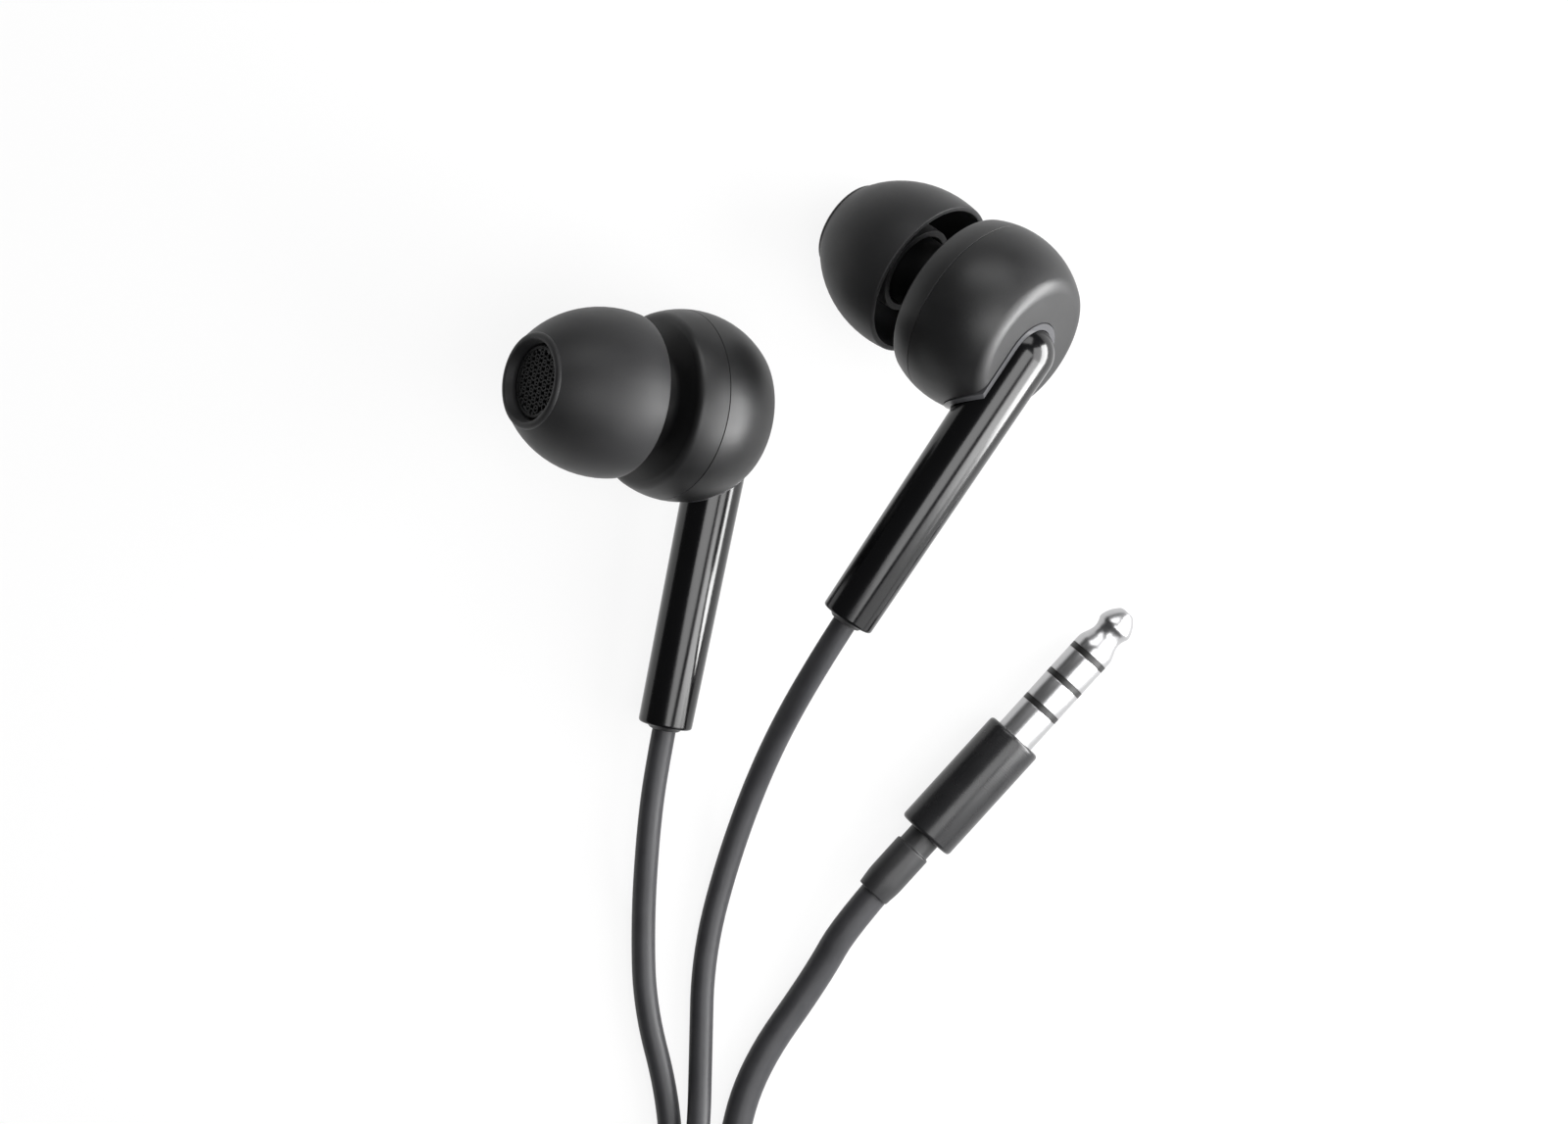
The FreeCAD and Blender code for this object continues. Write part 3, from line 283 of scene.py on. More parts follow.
@dataclass(frozen=True)
class SpeckledFinish(Finish):
    """A finish with separate specks, such as a magnet's plating or paper fibre."""

    speck_mm: float = 0.3
    mottle_low: float = 0.1
    mottle_high: float = 0.5

    def pattern(self, tree: Tree, vector: Socket) -> Socket:
        """Says where the specks are.

        Args:
            tree: the material's tree.
            vector: the place in millimetres.

        Returns:
            A value from 0 to the mottle's share.
        """
        cells = add_node(
            tree, "ShaderNodeTexVoronoi", {"Scale": 1 / self.speck_mm}, {"Vector": vector}
        )
        return self.mottle(tree, cells.outputs[0])


# How the plug's pin and barrel head across the table, in degrees, which their turning marks follow
PLUG_HEADING = 47.7

# Liquid silicone rubber from a blasted mould: soft, slightly chalky at grazing angles
SILICONE = Finish("silicone_blasted_mould", "#1B1B1C", 0.54, "#202021", specular=0.28, sheen=0.05)
# ABS from a lightly blasted mould: a soft, wide highlight
SATIN_SHELL = Finish("abs_satin_moulded", "#0E0E0F", 0.47, "#121213", grain_mm=0.1)
# ABS from a polished mould: sharp reflections with a slow waviness, hardly any texture
POLISHED_STEM = Finish(
    "abs_polished_moulded", "#060607", 0.18, "#080809",
    roughness_swing=0.02, grain_mm=1.6, grain_height_mm=0.003,
)
# The liner is brighter than the shell: its light grey colour is a painted highlight, standing in
# for the band of reflected light round the stem's top. Its rim is polished
LINER_PAINTED_HIGHLIGHT = Finish(
    "abs_polished_liner_painted_highlight", "#3A3A3C", 0.24, "#424244",
    specular=0.4, roughness_swing=0.03, grain_mm=0.9, grain_height_mm=0.003,
)
# TPE extruded round the wires: satin, with a fine uneven grain
JACKET = Finish("tpe_extruded_jacket", "#2C2C2E", 0.5, "#38383A", specular=0.3, grain_mm=0.2)
# TPE moulded over the cord's ends: a little smoother and darker than the jacket
SOFT_RUBBER = Finish("tpe_moulded_satin", "#222223", 0.45, "#282829", specular=0.4, grain_mm=0.15)
# Painted aluminium: a broad soft streak, with fine turning marks under the paint
BARREL = BandedFinish(
    "aluminium_painted_satin", "#19191A", 0.3, "#1F1F20",
    specular=0.4, heading=PLUG_HEADING, grain_height_mm=0.002,
)
# Brass with satin nickel over fine turning marks: a bright streak with blurred edges
CONTACT = BandedFinish(
    "brass_nickel_plated", "#B7B7B8", 0.32, "#ADADAE",
    metallic=1.0, heading=PLUG_HEADING, roughness_swing=0.03, grain_height_mm=0.0003,
)
# Moulded acetal between the contacts: plain black with a dull shine
INSULATOR = Finish("pom_black_moulded", "#0C0C0C", 0.45)
# Stainless steel, etched through and blackened: dark, with a faint metal glint on the webs
STEEL_MESH = SpeckledFinish(
    "stainless_black_oxide_mesh", "#151516", 0.5, "#0E0E0F",
    metallic=0.3, specular=0.3, speck_mm=0.25, grain_height_mm=0.003,
)
# Undyed PBT of the driver's frame: warm off-white and satin
NATURAL_PLASTIC = Finish("pbt_natural_moulded", "#D8D4C8", 0.5, "#CCC7BA", grain_mm=0.2)
# Stamped steel with dull nickel: grey with a slight speckle
PLATED_STEEL = SpeckledFinish(
    "steel_nickel_plated", "#B9B7B2", 0.3, "#A5A39E", metallic=1.0, speck_mm=0.4
)
# A sintered magnet, plated: grey metal over a grainy body
MAGNET = SpeckledFinish(
    "neodymium_nickel_plated", "#A9A9AB", 0.35, "#8E8E90",
    metallic=1.0, speck_mm=0.2, grain_height_mm=0.008,
)
# Enamelled copper wire, wound: glossy orange brown with a line for each turn
WINDING = BandedFinish(
    "copper_enamelled_wire", "#B4622F", 0.3, "#8F4620",
    metallic=1.0, line_mm=0.05, grain_height_mm=0.02,
)
# Thin formed polyester film: milky, glossy and half clear
FILM = Finish(
    "pet_formed_film", "#C9CBD0", 0.25, "#B8BAC0", alpha=0.65, grain_mm=0.5, grain_height_mm=0.01
)
# Damping paper: matt and off-white, with short fibres
PAPER = SpeckledFinish(
    "damping_paper", "#E2DED2", 0.8, "#CFCABC", speck_mm=0.12, grain_height_mm=0.01
)
# Glass-epoxy board under solder mask: green and half glossy
BOARD = SpeckledFinish("glass_epoxy_solder_mask", "#14502A", 0.4, "#1B6A38", speck_mm=0.6)
# ABS from a finely sparked mould: dark and dull, with an even grain
CASE = Finish(
    "abs_fine_grain_moulded", "#1B1B1C", 0.42, "#212122", grain_mm=0.14, grain_height_mm=0.006
)


@dataclass(frozen=True)
class Corner:
    """A corner of an outline that a lathe turns.

    out and along are its radius and its place along the axis. bend is the radius of an arc that
    leads to it, above 0 where it turns left, and soft is how far from it its rounding starts.
    """

    out: float
    along: float
    bend: float = 0.0
    soft: float = 0.0


def walk(
    points: Sequence[Vector], start: int, step: int, distance: float
) -> tuple[Vector, list[int]]:
    """Goes along a closed outline from one of its points.

    Args:
        points: the outline's points.
        start: the number of the point to start from.
        step: 1 to go on and -1 to go back.
        distance: how far to go.

    Returns:
        The point reached and the numbers of the points passed on the way.
    """
    passed: list[int] = []
    at, number = points[start], start
    while True:
        number = (number + step) % len(points)
        run = (points[number] - at).length
        if run >= distance:
            return at.lerp(points[number], distance / run), passed
        passed.append(number)
        distance -= run
        at = points[number]


def arc_points(start: Vector, end: Vector, bend: float) -> list[Vector]:
    """Samples an arc between two points, without them.

    Args:
        start: where it starts.
        end: where it ends.
        bend: its radius, above 0 where it turns left.

    Returns:
        The points between its ends.
    """
    chord = end - start
    height = math.sqrt(max(bend**2 - (chord.length / 2) ** 2, 0.0))
    left = Vector((-chord.y, chord.x)).normalized()
    centre = (start + end) / 2 + left * math.copysign(height, bend)
    spread = 2 * math.asin(min(1.0, chord.length / 2 / abs(bend)))
    first = math.atan2(start.y - centre.y, start.x - centre.x)
    steps = max(3, math.ceil(math.degrees(spread) / ARC_STEP))
    angles = [first + math.copysign(spread, bend) * step / steps for step in range(1, steps)]
    return [centre + Vector((math.cos(angle), math.sin(angle))) * abs(bend) for angle in angles]


def outline(corners: Sequence[Corner]) -> list[Vector]:
    """Samples an outline's arcs and rounds its soft corners.

    Args:
        corners: the corners in order, the last leading back to the first.

    Returns:
        Points (out, along) in millimetres.
    """
    points: list[Vector] = []
    soft: dict[int, float] = {}
    for number, corner in enumerate(corners):
        start = Vector((corners[number - 1].out, corners[number - 1].along))
        end = Vector((corner.out, corner.along))
        if corner.bend:
            points += arc_points(start, end, corner.bend)
        if corner.soft:
            soft[len(points)] = corner.soft
        points.append(end)
    dropped: set[int] = set()
    rounded: dict[int, list[Vector]] = {}
    for number, distance in soft.items():
        before, back = walk(points, number, -1, distance)
        after, on = walk(points, number, 1, distance)
        dropped.update(back, on)
        shares = [step / SOFT_STEPS for step in range(SOFT_STEPS + 1)]
        rounded[number] = [
            before * (1 - t) ** 2 + points[number] * (2 * t * (1 - t)) + after * t**2
            for t in shares
        ]
    result: list[Vector] = []
    for number, point in enumerate(points):
        if number in rounded:
            result += rounded[number]
        elif number not in dropped:
            result.append(point)
    return result


def add_object(name: str, data: bpy.types.ID) -> bpy.types.Object:
    """Makes an object of its data and links it to the scene.

    Args:
        name: the object's name.
        data: its mesh, curve, light or camera.

    Returns:
        The object, at the origin.
    """
    thing = bpy.data.objects.new(name, data)
    bpy.context.scene.collection.objects.link(thing)
    return thing


def settled(work: bmesh.types.BMesh, name: str = "work") -> Mesh:
    """Writes a working mesh to a new mesh and frees it.

    Args:
        work: the working mesh.
        name: the new mesh's name.

    Returns:
        The mesh.
    """
    mesh = bpy.data.meshes.new(name)
    work.to_mesh(mesh)
    work.free()
    return mesh


def lathe_mesh(corners: Sequence[Corner], axis: Matrix, around: int = ROUND_USUAL) -> Mesh:
    """Turns an outline round an axis.

    Args:
        corners: the outline, as radius and place along the axis.
        axis: a frame in millimetres whose Z is the axis.
        around: how many steps make a turn.

    Returns:
        A closed mesh in metres.
    """
    work = bmesh.new()
    rings: list[list[bmesh.types.BMVert]] = []
    for point in outline(corners):
        radius = point.x if point.x > ON_AXIS else 0.0
        ring = []
        for step in range(around if radius else 1):
            angle = TURN * step / around
            spot = Vector((radius * math.cos(angle), radius * math.sin(angle), point.y))
            ring.append(work.verts.new(axis @ spot * MM))
        rings.append(ring)
    for number, ring in enumerate(rings):
        before = rings[number - 1]
        if len(before) == 1 and len(ring) == 1:
            continue
        for step in range(around):
            quad = [
                before[step % len(before)],
                before[(step + 1) % len(before)],
                ring[(step + 1) % len(ring)],
                ring[step % len(ring)],
            ]
            work.faces.new(list(dict.fromkeys(quad)))
    bmesh.ops.recalc_face_normals(work, faces=work.faces)
    return settled(work)


def block_mesh(low: Vector, high: Vector, place: Matrix) -> Mesh:
    """A plain block that only serves as a cutting tool.

    Args:
        low: its lowest corner in millimetres.
        high: its highest corner.
        place: the frame that the corners are in.

    Returns:
        The mesh in metres.
    """
    work = bmesh.new()
    bmesh.ops.create_cube(work, size=1.0)
    for vert in work.verts:
        spot = Vector(l + (h - l) * (c + 0.5) for l, h, c in zip(low, high, vert.co, strict=True))
        vert.co = place @ spot * MM
    bmesh.ops.recalc_face_normals(work, faces=work.faces)
    return settled(work)


def baked(thing: bpy.types.Object) -> Mesh:
    """Takes the mesh that an object's modifiers make, and removes the object.

    Args:
        thing: the object.

    Returns:
        The mesh.
    """
    graph = bpy.context.evaluated_depsgraph_get()
    graph.update()
    mesh = bpy.data.meshes.new_from_object(thing.evaluated_get(graph))
    bpy.data.objects.remove(thing)
    return mesh


def cut(mesh: Mesh, tool: Mesh) -> Mesh:
    """Takes one closed mesh out of another.

    Args:
        mesh: what is cut.
        tool: what is taken away.

    Returns:
        The cut mesh.
    """
    target, cutter = add_object("cut_target", mesh), add_object("cut_tool", tool)
    modifier = target.modifiers.new("cut", "BOOLEAN")
    modifier.operation, modifier.solver, modifier.object = "DIFFERENCE", "EXACT", cutter
    result = baked(target)
    bpy.data.objects.remove(cutter)
    return result


def shade(mesh: Mesh) -> None:
    """Shades a mesh smooth between its sharp edges.

    Args:
        mesh: the mesh, which is changed.
    """
    work = bmesh.new()
    work.from_mesh(mesh)
    for face in work.faces:
        face.smooth = True
    for edge in work.edges:
        sharp = len(edge.link_faces) == 2 and edge.calc_face_angle(0.0) > SHARP_EDGE
        edge.smooth = not sharp
    work.to_mesh(mesh)
    work.free()


def dress(finishes: dict[str, Finish]) -> None:
    """Gives CAD nodes their finishes, and smooth shading between their sharp edges.

    Args:
        finishes: each finish by its node's name.
    """
    for node, finish in finishes.items():
        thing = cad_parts[node]
        thing.data.materials.clear()
        thing.data.materials.append(finish.build())
        for face in thing.data.polygons:
            face.use_smooth = True
        thing.modifiers.new("weld", "WELD").merge_threshold = CAD_WELD
        thing.modifiers.new("split", "EDGE_SPLIT").split_angle = CAD_SHARP_EDGE
        LOG.info("dressed %s", node)


def show(piece: bpy.types.Object, body: Body, replaced: Sequence[str]) -> None:
    """Puts a finished piece on its body and hides the CAD nodes it stands for.

    Args:
        piece: the finished piece.
        body: the CAD body it moves with.
        replaced: CAD nodes that it stands for.
    """
    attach(piece, body.value)
    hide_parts(*replaced)
    LOG.info("made %s", piece.name)


def add_piece(
    name: str, mesh: Mesh, finish: Finish, node: str, body: Body = Body.MAIN
) -> None:
    """Makes a mesh a piece in place of a CAD node.

    Args:
        name: the piece's name.
        mesh: its mesh, placed in the row frame.
        finish: its surface.
        node: the CAD node that it stands for.
        body: the CAD body that it moves with.
    """
    shade(mesh)
    mesh.materials.clear()
    mesh.materials.append(finish.build())
    mesh.name = name
    show(add_object(name, mesh), body, [node])


def ball_section(radius: float, height: float) -> float:
    """The radius of a ball's section at a height above its middle."""
    return math.sqrt(radius**2 - height**2)


@dataclass
class MeshDisc:
    """The etched mesh over a nozzle: six-sided holes in a thin disc, made by Geometry Nodes."""

    radius: float = 2.9
    pitch: float = 0.62
    web: float = 0.2
    thickness: float = 0.12
    rim: float = 0.22
    rim_edge: float = 0.03
    cells_across: int = 15
    cell_reach: float = 0.9
    weld: float = 1e-4

    def cell(self, tree: Tree, given: Sockets, outer: Socket) -> Socket:
        """Adds the nodes of one cell: a six-sided frame round its hole.

        Args:
            tree: the disc's tree.
            given: the tree's inputs.
            outer: the cell's radius.

        Returns:
            The cell's geometry.
        """
        links = {0: given["Web"], 1: given["Pitch"]}
        share = add_node(tree, "ShaderNodeMath", {"operation": "DIVIDE"}, links)
        hole = add_node(
            tree, "ShaderNodeMath", {"operation": "SUBTRACT", 0: 1.0}, {1: share.outputs[0]}
        )
        circle = {"fill_type": "NGON", "Vertices": 6}
        face = add_node(tree, "GeometryNodeMeshCircle", circle, {"Radius": outer})
        inset = {"Offset Scale": 0.0, "Individual": True}
        ring = add_node(tree, "GeometryNodeExtrudeMesh", inset, {0: face.outputs[0]})
        links = {"Geometry": ring.outputs[0], "Selection": ring.outputs[1]}
        shrink = {**links, "Scale": hole.outputs[0]}
        inner = add_node(tree, "GeometryNodeScaleElements", None, shrink)
        links = {"Geometry": inner.outputs[0], "Selection": ring.outputs[1]}
        flat = add_node(tree, "GeometryNodeDeleteGeometry", {"domain": "FACE"}, links)
        links = {0: flat.outputs[0], "Offset Scale": given["Thickness"]}
        raised = add_node(tree, "GeometryNodeExtrudeMesh", {"Individual": False}, links)
        under = add_node(tree, "GeometryNodeFlipFaces", None, {0: flat.outputs[0]})
        both = add_node(tree, "GeometryNodeJoinGeometry")
        for part in (under, raised):
            tree.links.new(part.outputs[0], both.inputs[0])
        merge = {"Distance": self.weld}
        solid = add_node(tree, "GeometryNodeMergeByDistance", merge, {0: both.outputs[0]})
        return solid.outputs[0]

    def lattice(self, tree: Tree, given: Sockets, outer: Socket) -> Socket:
        """Adds the nodes of the cells' places: a triangular lattice inside a circle.

        Args:
            tree: the disc's tree.
            given: the tree's inputs.
            outer: a cell's radius.

        Returns:
            The places as points.
        """
        pitch, times = given["Pitch"], {"operation": "MULTIPLY"}
        count = self.cells_across
        width = add_node(tree, "ShaderNodeMath", {**times, 1: count - 1.0}, {0: pitch})
        depth = add_node(
            tree, "ShaderNodeMath", {**times, 1: math.sqrt(0.75)}, {0: width.outputs[0]}
        )
        counts = {"Vertices X": count, "Vertices Y": count}
        sizes = {"Size X": width.outputs[0], "Size Y": depth.outputs[0]}
        grid = add_node(tree, "GeometryNodeMeshGrid", counts, sizes)
        index = add_node(tree, "GeometryNodeInputIndex")
        odd = add_node(
            tree, "ShaderNodeMath", {"operation": "MODULO", 1: 2.0}, {0: index.outputs[0]}
        )
        half = add_node(tree, "ShaderNodeMath", {**times, 1: 0.5}, {0: odd.outputs[0]})
        shift = add_node(tree, "ShaderNodeMath", times, {0: half.outputs[0], 1: pitch})
        offset = add_node(tree, "ShaderNodeCombineXYZ", None, {"X": shift.outputs[0]})
        links = {0: grid.outputs[0], "Offset": offset.outputs[0]}
        rows = add_node(tree, "GeometryNodeSetPosition", None, links)
        place = add_node(tree, "GeometryNodeInputPosition")
        far = add_node(
            tree, "ShaderNodeVectorMath", {"operation": "LENGTH"}, {0: place.outputs[0]}
        )
        edge = add_node(tree, "ShaderNodeMath", {**times, 1: self.cell_reach}, {0: outer})
        links = {0: given["Radius"], 1: edge.outputs[0]}
        reach = add_node(tree, "ShaderNodeMath", {"operation": "SUBTRACT"}, links)
        compare = {"operation": "GREATER_THAN", "data_type": "FLOAT"}
        links = {0: far.outputs[1], 1: reach.outputs[0]}
        outside = add_node(tree, "FunctionNodeCompare", compare, links)
        links = {"Geometry": rows.outputs[0], "Selection": outside.outputs[0]}
        kept = add_node(tree, "GeometryNodeDeleteGeometry", {"domain": "POINT"}, links)
        return kept.outputs[0]

    def tree(self) -> Tree:
        """Builds the node tree that lays cells on a triangular lattice inside a circle.

        Returns:
            The tree, with the disc's sizes as named inputs.
        """
        tree = bpy.data.node_groups.new("mesh_disc", "GeometryNodeTree")
        face = tree.interface
        face.new_socket("Geometry", in_out="OUTPUT", socket_type="NodeSocketGeometry")
        for name in ("Radius", "Pitch", "Web", "Thickness"):
            face.new_socket(name, in_out="INPUT", socket_type="NodeSocketFloat")
        face.new_socket("Material", in_out="INPUT", socket_type="NodeSocketMaterial")
        given = add_node(tree, "NodeGroupInput").outputs
        over_root = {"operation": "DIVIDE", 1: math.sqrt(3.0)}
        outer = add_node(tree, "ShaderNodeMath", over_root, {0: given["Pitch"]}).outputs[0]
        links = {
            "Instance": self.cell(tree, given, outer),
            "Points": self.lattice(tree, given, outer),
        }
        cells = add_node(tree, "GeometryNodeInstanceOnPoints", None, links)
        real = add_node(tree, "GeometryNodeRealizeInstances", None, {0: cells.outputs[0]})
        links = {0: real.outputs[0], "Material": given["Material"]}
        finished = add_node(tree, "GeometryNodeSetMaterial", None, links)
        add_node(tree, "NodeGroupOutput", None, {0: finished.outputs[0]})
        return tree

    def mesh(self, place: Matrix) -> Mesh:
        """Bakes the disc where it belongs, with a plain rim round its cells.

        Args:
            place: the frame in millimetres of the nozzle's end, with Z outwards.

        Returns:
            The mesh in metres.
        """
        host = add_object("mesh_host", bpy.data.meshes.new("mesh_host"))
        modifier = host.modifiers.new("mesh", "NODES")
        modifier.node_group = bpy.data.node_groups.get("mesh_disc") or self.tree()
        values = {
            "Radius": self.radius,
            "Pitch": self.pitch,
            "Web": self.web,
            "Thickness": self.thickness,
            "Material": STEEL_MESH.build(),
        }
        for item in modifier.node_group.interface.items_tree:
            if item.in_out == "INPUT":
                modifier[item.identifier] = values[item.name]
        cells = baked(host)
        cells.transform(Matrix.Scale(MM, 4) @ place)
        inside = self.radius - self.rim
        rim = [
            Corner(inside, 0),
            Corner(self.radius, 0),
            Corner(self.radius, self.thickness, soft=self.rim_edge),
            Corner(inside, self.thickness, soft=self.rim_edge),
        ]
        work = bmesh.new()
        work.from_mesh(cells)
        work.from_mesh(lathe_mesh(rim, place))
        return settled(work)


@dataclass
class Bud:
    """One earphone: housing, nozzle, ear tip and stem, in the bud's own frame."""

    side: Side
    across: float
    along: float
    tip_angle: float
    rise_angle: float
    stem_angle: float
    housing: float = 7.95
    wall: float = 1.0
    front: float = 3.5
    back: float = 5.4
    front_round: float = 0.8
    back_round: float = 1.6
    seam: float = 1.0
    seam_groove: float = 0.03
    seam_depth: float = 0.04
    seam_bevel: float = 0.03
    driver_seat: float = 4.55
    driver_seat_depth: float = 1.0
    shoulder: float = 4.4
    shoulder_length: float = 2.4
    shoulder_bend: float = 3.2
    nozzle: float = 2.95
    nozzle_bore: float = 2.45
    nozzle_length: float = 10.95
    lip: float = 3.12
    lip_start: float = 1.6
    lip_rise: float = 0.3
    tip_overhang: float = 0.9
    tip_length: float = 9.15
    rim: float = 6.8
    rim_thickness: float = 0.45
    dome_bend: float = 9.95
    inner_bend: float = 8.0
    mouth: float = 3.4
    mouth_depth: float = 0.7
    tip_front_radius: float = 3.95
    tip_front_round: float = 0.35
    sleeve_bore: float = 3.17
    sleeve_wall: float = 0.58
    sleeve_length: float = 7.7
    web: float = 1.6
    setback: float = 4.9
    stem_top: float = 1.9
    stem_radius: float = 2.5
    stem_end_radius: float = 2.27
    stem_length: float = 26.6
    stem_bore: float = 1.3
    collar_bore: float = 2.55
    collar_outer: float = 3.1
    collar_proud: float = 0.1
    collar_gap: float = 0.05
    bushing_length: float = 1.7
    bushing_seat: float = 1.6
    bushing_outer: float = 1.57
    bushing_end: float = 1.22
    bushing_bore: float = 1.03
    bushing_proud: float = 0.35
    tool_past: float = 1.0
    opening_length: float = 14.0
    collar_length: float = 9.54
    block_half: float = 20.0

    @property
    def tip_front(self) -> float:
        """Where the ear tip ends, along the bud's axis."""
        return self.front + self.nozzle_length + self.tip_overhang

    @property
    def ball_top(self) -> float:
        """Where the middle of the stem's round top is, along the stem's axis."""
        return self.stem_top - self.stem_radius

    def ways(self) -> tuple[Vector, Vector]:
        """Works out which way the bud lies.

        Returns:
            The directions of the ear tip and of the stem in the row frame.
        """
        heading, rise = math.radians(self.tip_angle), math.radians(self.rise_angle)
        course = math.radians(self.stem_angle)
        level, height = math.cos(rise), math.sin(rise)
        tip = Vector((math.cos(heading) * level, math.sin(heading) * level, height))
        flat = Vector((math.cos(course), math.sin(course), 0))
        return tip, Vector((flat.x, flat.y, -flat.dot(tip) / tip.z)).normalized()

    def place(self) -> Matrix:
        """Finds the bud's frame, at the height where its housing or its ear tip lies on the table.

        Returns:
            The frame in millimetres: Z out of the nozzle, the stem along -X behind the middle.
        """
        tip, stem = self.ways()
        rim = Vector((self.rim, self.tip_front - self.tip_length))
        shoulder = Vector((self.tip_front_radius, self.tip_front - self.tip_front_round))
        chord = shoulder - rim
        height = math.sqrt(self.dome_bend**2 - (chord.length / 2) ** 2)
        centre = (rim + shoulder) / 2 + Vector((-chord.y, chord.x)).normalized() * height
        level = math.cos(math.radians(self.rise_angle))
        depth = centre.x * level - centre.y * tip.z + self.dome_bend
        turn = Matrix((-stem, tip.cross(-stem), tip)).transposed().to_4x4()
        return Matrix.Translation((self.across, self.along, max(self.housing, depth))) @ turn

    def stem_axis(self) -> Matrix:
        """The stem's frame: its Z runs from the stem's end to its top."""
        turn = Matrix(((0, 0, 1), (1, 0, 0), (0, 1, 0))).to_4x4()
        return self.place() @ Matrix.Translation((0, 0, -self.setback)) @ turn

    def stem_exit(self, past: float) -> Vector:
        """The point on the stem's axis some way past its end, in millimetres."""
        return self.stem_axis() @ Vector((0, 0, -(self.stem_length + past)))

    def name(self, piece: str) -> str:
        """A piece's name with the bud's side."""
        return f"{self.side.value}_{piece}"

    def add(
        self, name: str, mesh: Mesh, finish: Finish, slot: str, node: str, body: Body = Body.MAIN
    ) -> None:
        """Adds a piece of this bud, as add_piece does, from names without the bud's side."""
        add_piece(self.name(name), mesh, finish, self.name(node), body)

    def edge_points(
        self, face: float, edge: float
    ) -> tuple[tuple[float, float], tuple[float, float]]:
        """Finds where a rounded edge between the ball and a flat face touches each of them.

        Args:
            face: how far the face is from the ball's middle.
            edge: the rounding's radius.

        Returns:
            The radius and the height of the point on the ball and of the point on the face.
        """
        centre = math.sqrt((self.housing - edge) ** 2 - (face - edge) ** 2)
        share = self.housing / (self.housing - edge)
        return (centre * share, (face - edge) * share), (centre, face)

    def front_shell(self) -> None:
        """The housing's front with its nozzle, and a fine step at the seam."""
        ball, face = self.edge_points(self.front, self.front_round)
        inner = self.housing - self.wall
        front_wall = self.front - self.wall
        end = self.front + self.nozzle_length
        lip_full = end - self.lip_start + self.lip_rise
        seam = self.seam + self.seam_groove / 2
        bevel = seam + self.seam_bevel
        corners = [
            Corner(ball_section(self.housing, seam) - self.seam_depth, seam),
            Corner(ball_section(self.housing, bevel), bevel),
            Corner(*ball, self.housing),
            Corner(*face, self.front_round),
            Corner(self.shoulder, self.front, soft=0.25),
            Corner(self.nozzle, self.front + self.shoulder_length, -self.shoulder_bend),
            Corner(self.nozzle, end - self.lip_start, soft=0.1),
            Corner(self.lip, lip_full, soft=0.12),
            Corner(self.lip, end - self.lip_rise, soft=0.12),
            Corner(self.nozzle, end, soft=0.08),
            Corner(self.nozzle_bore, end, soft=0.08),
            Corner(self.nozzle_bore, front_wall + self.driver_seat_depth),
            Corner(self.driver_seat, front_wall),
            Corner(ball_section(inner, front_wall), front_wall),
            Corner(ball_section(inner, seam), seam, -inner),
        ]
        mesh = lathe_mesh(corners, self.place(), ROUND_LARGE)
        self.add("front_cover", mesh, SATIN_SHELL, "gloss_shell", "front_shell")

    def rear_shell(self) -> None:
        """The housing's back, with a rounded edge round its flat and the opening for the stem."""
        ball, face = self.edge_points(self.back, self.back_round)
        inner = self.housing - self.wall
        inner_back = self.back - self.wall
        seam = self.seam - self.seam_groove / 2
        bevel = seam - self.seam_bevel
        corners = [
            Corner(0, -inner_back),
            Corner(ball_section(inner, inner_back), -inner_back),
            Corner(ball_section(inner, seam), seam, inner),
            Corner(ball_section(self.housing, seam) - self.seam_depth, seam),
            Corner(ball_section(self.housing, bevel), bevel),
            Corner(ball[0], -ball[1], -self.housing),
            Corner(face[0], -face[1], -self.back_round),
            Corner(0, -self.back),
        ]
        radius = self.collar_outer + self.collar_gap
        opening = [
            Corner(0, -self.opening_length),
            Corner(radius, -self.opening_length),
            Corner(radius, self.ball_top),
            Corner(0, self.ball_top + radius, radius),
        ]
        tool = lathe_mesh(opening, self.stem_axis(), ROUND_LARGE)
        mesh = cut(lathe_mesh(corners, self.place(), ROUND_FINE), tool)
        self.add("rear_cover", mesh, SATIN_SHELL, "gloss_shell", "rear_shell")

    def collar(self) -> None:
        """The liner round the stem's top, cut flat just proud of the housing's back."""
        top, past = self.ball_top, self.collar_length
        corners = [
            Corner(self.collar_bore, -past),
            Corner(self.collar_bore, top),
            Corner(0, top + self.collar_bore, self.collar_bore),
            Corner(0, top + self.collar_outer),
            Corner(self.collar_outer, top, -self.collar_outer),
            Corner(self.collar_outer, -past),
        ]
        ball = self.housing + self.collar_proud
        low = -(self.back + self.tool_past)
        outside = [
            Corner(ball_section(ball, low), low, -ball),
            Corner(past * 2, low),
            Corner(past * 2, 0),
            Corner(ball, 0),
        ]
        mesh = lathe_mesh(corners, self.stem_axis(), ROUND_LARGE)
        mesh = cut(mesh, lathe_mesh(outside, self.place(), ROUND_TOOL))
        half, level = self.block_half, -(self.back + self.collar_proud)
        tool = block_mesh(Vector((-half, -half, -half)), Vector((half, half, level)), self.place())
        # The liner's light grey is a painted highlight for the band of reflected light round the
        # stem's top
        self.add("collar", cut(mesh, tool), LINER_PAINTED_HIGHLIGHT, "gloss_shell", "stem_collar")

    def stem(self) -> None:
        """The tapered stem with its round top and softly rounded end."""
        end, top, bore = -self.stem_length, self.ball_top, self.stem_bore
        corners = [
            Corner(self.bushing_seat, end),
            Corner(self.stem_end_radius, end, soft=0.28),
            Corner(self.stem_radius, top),
            Corner(0, self.stem_top, self.stem_radius),
            Corner(0, top + bore),
            Corner(bore, top, -bore),
            Corner(bore, end + self.bushing_length),
            Corner(self.bushing_seat, end + self.bushing_length),
        ]
        mesh = lathe_mesh(corners, self.stem_axis())
        self.add("stem_tube", mesh, POLISHED_STEM, "gloss_shell", "stem")

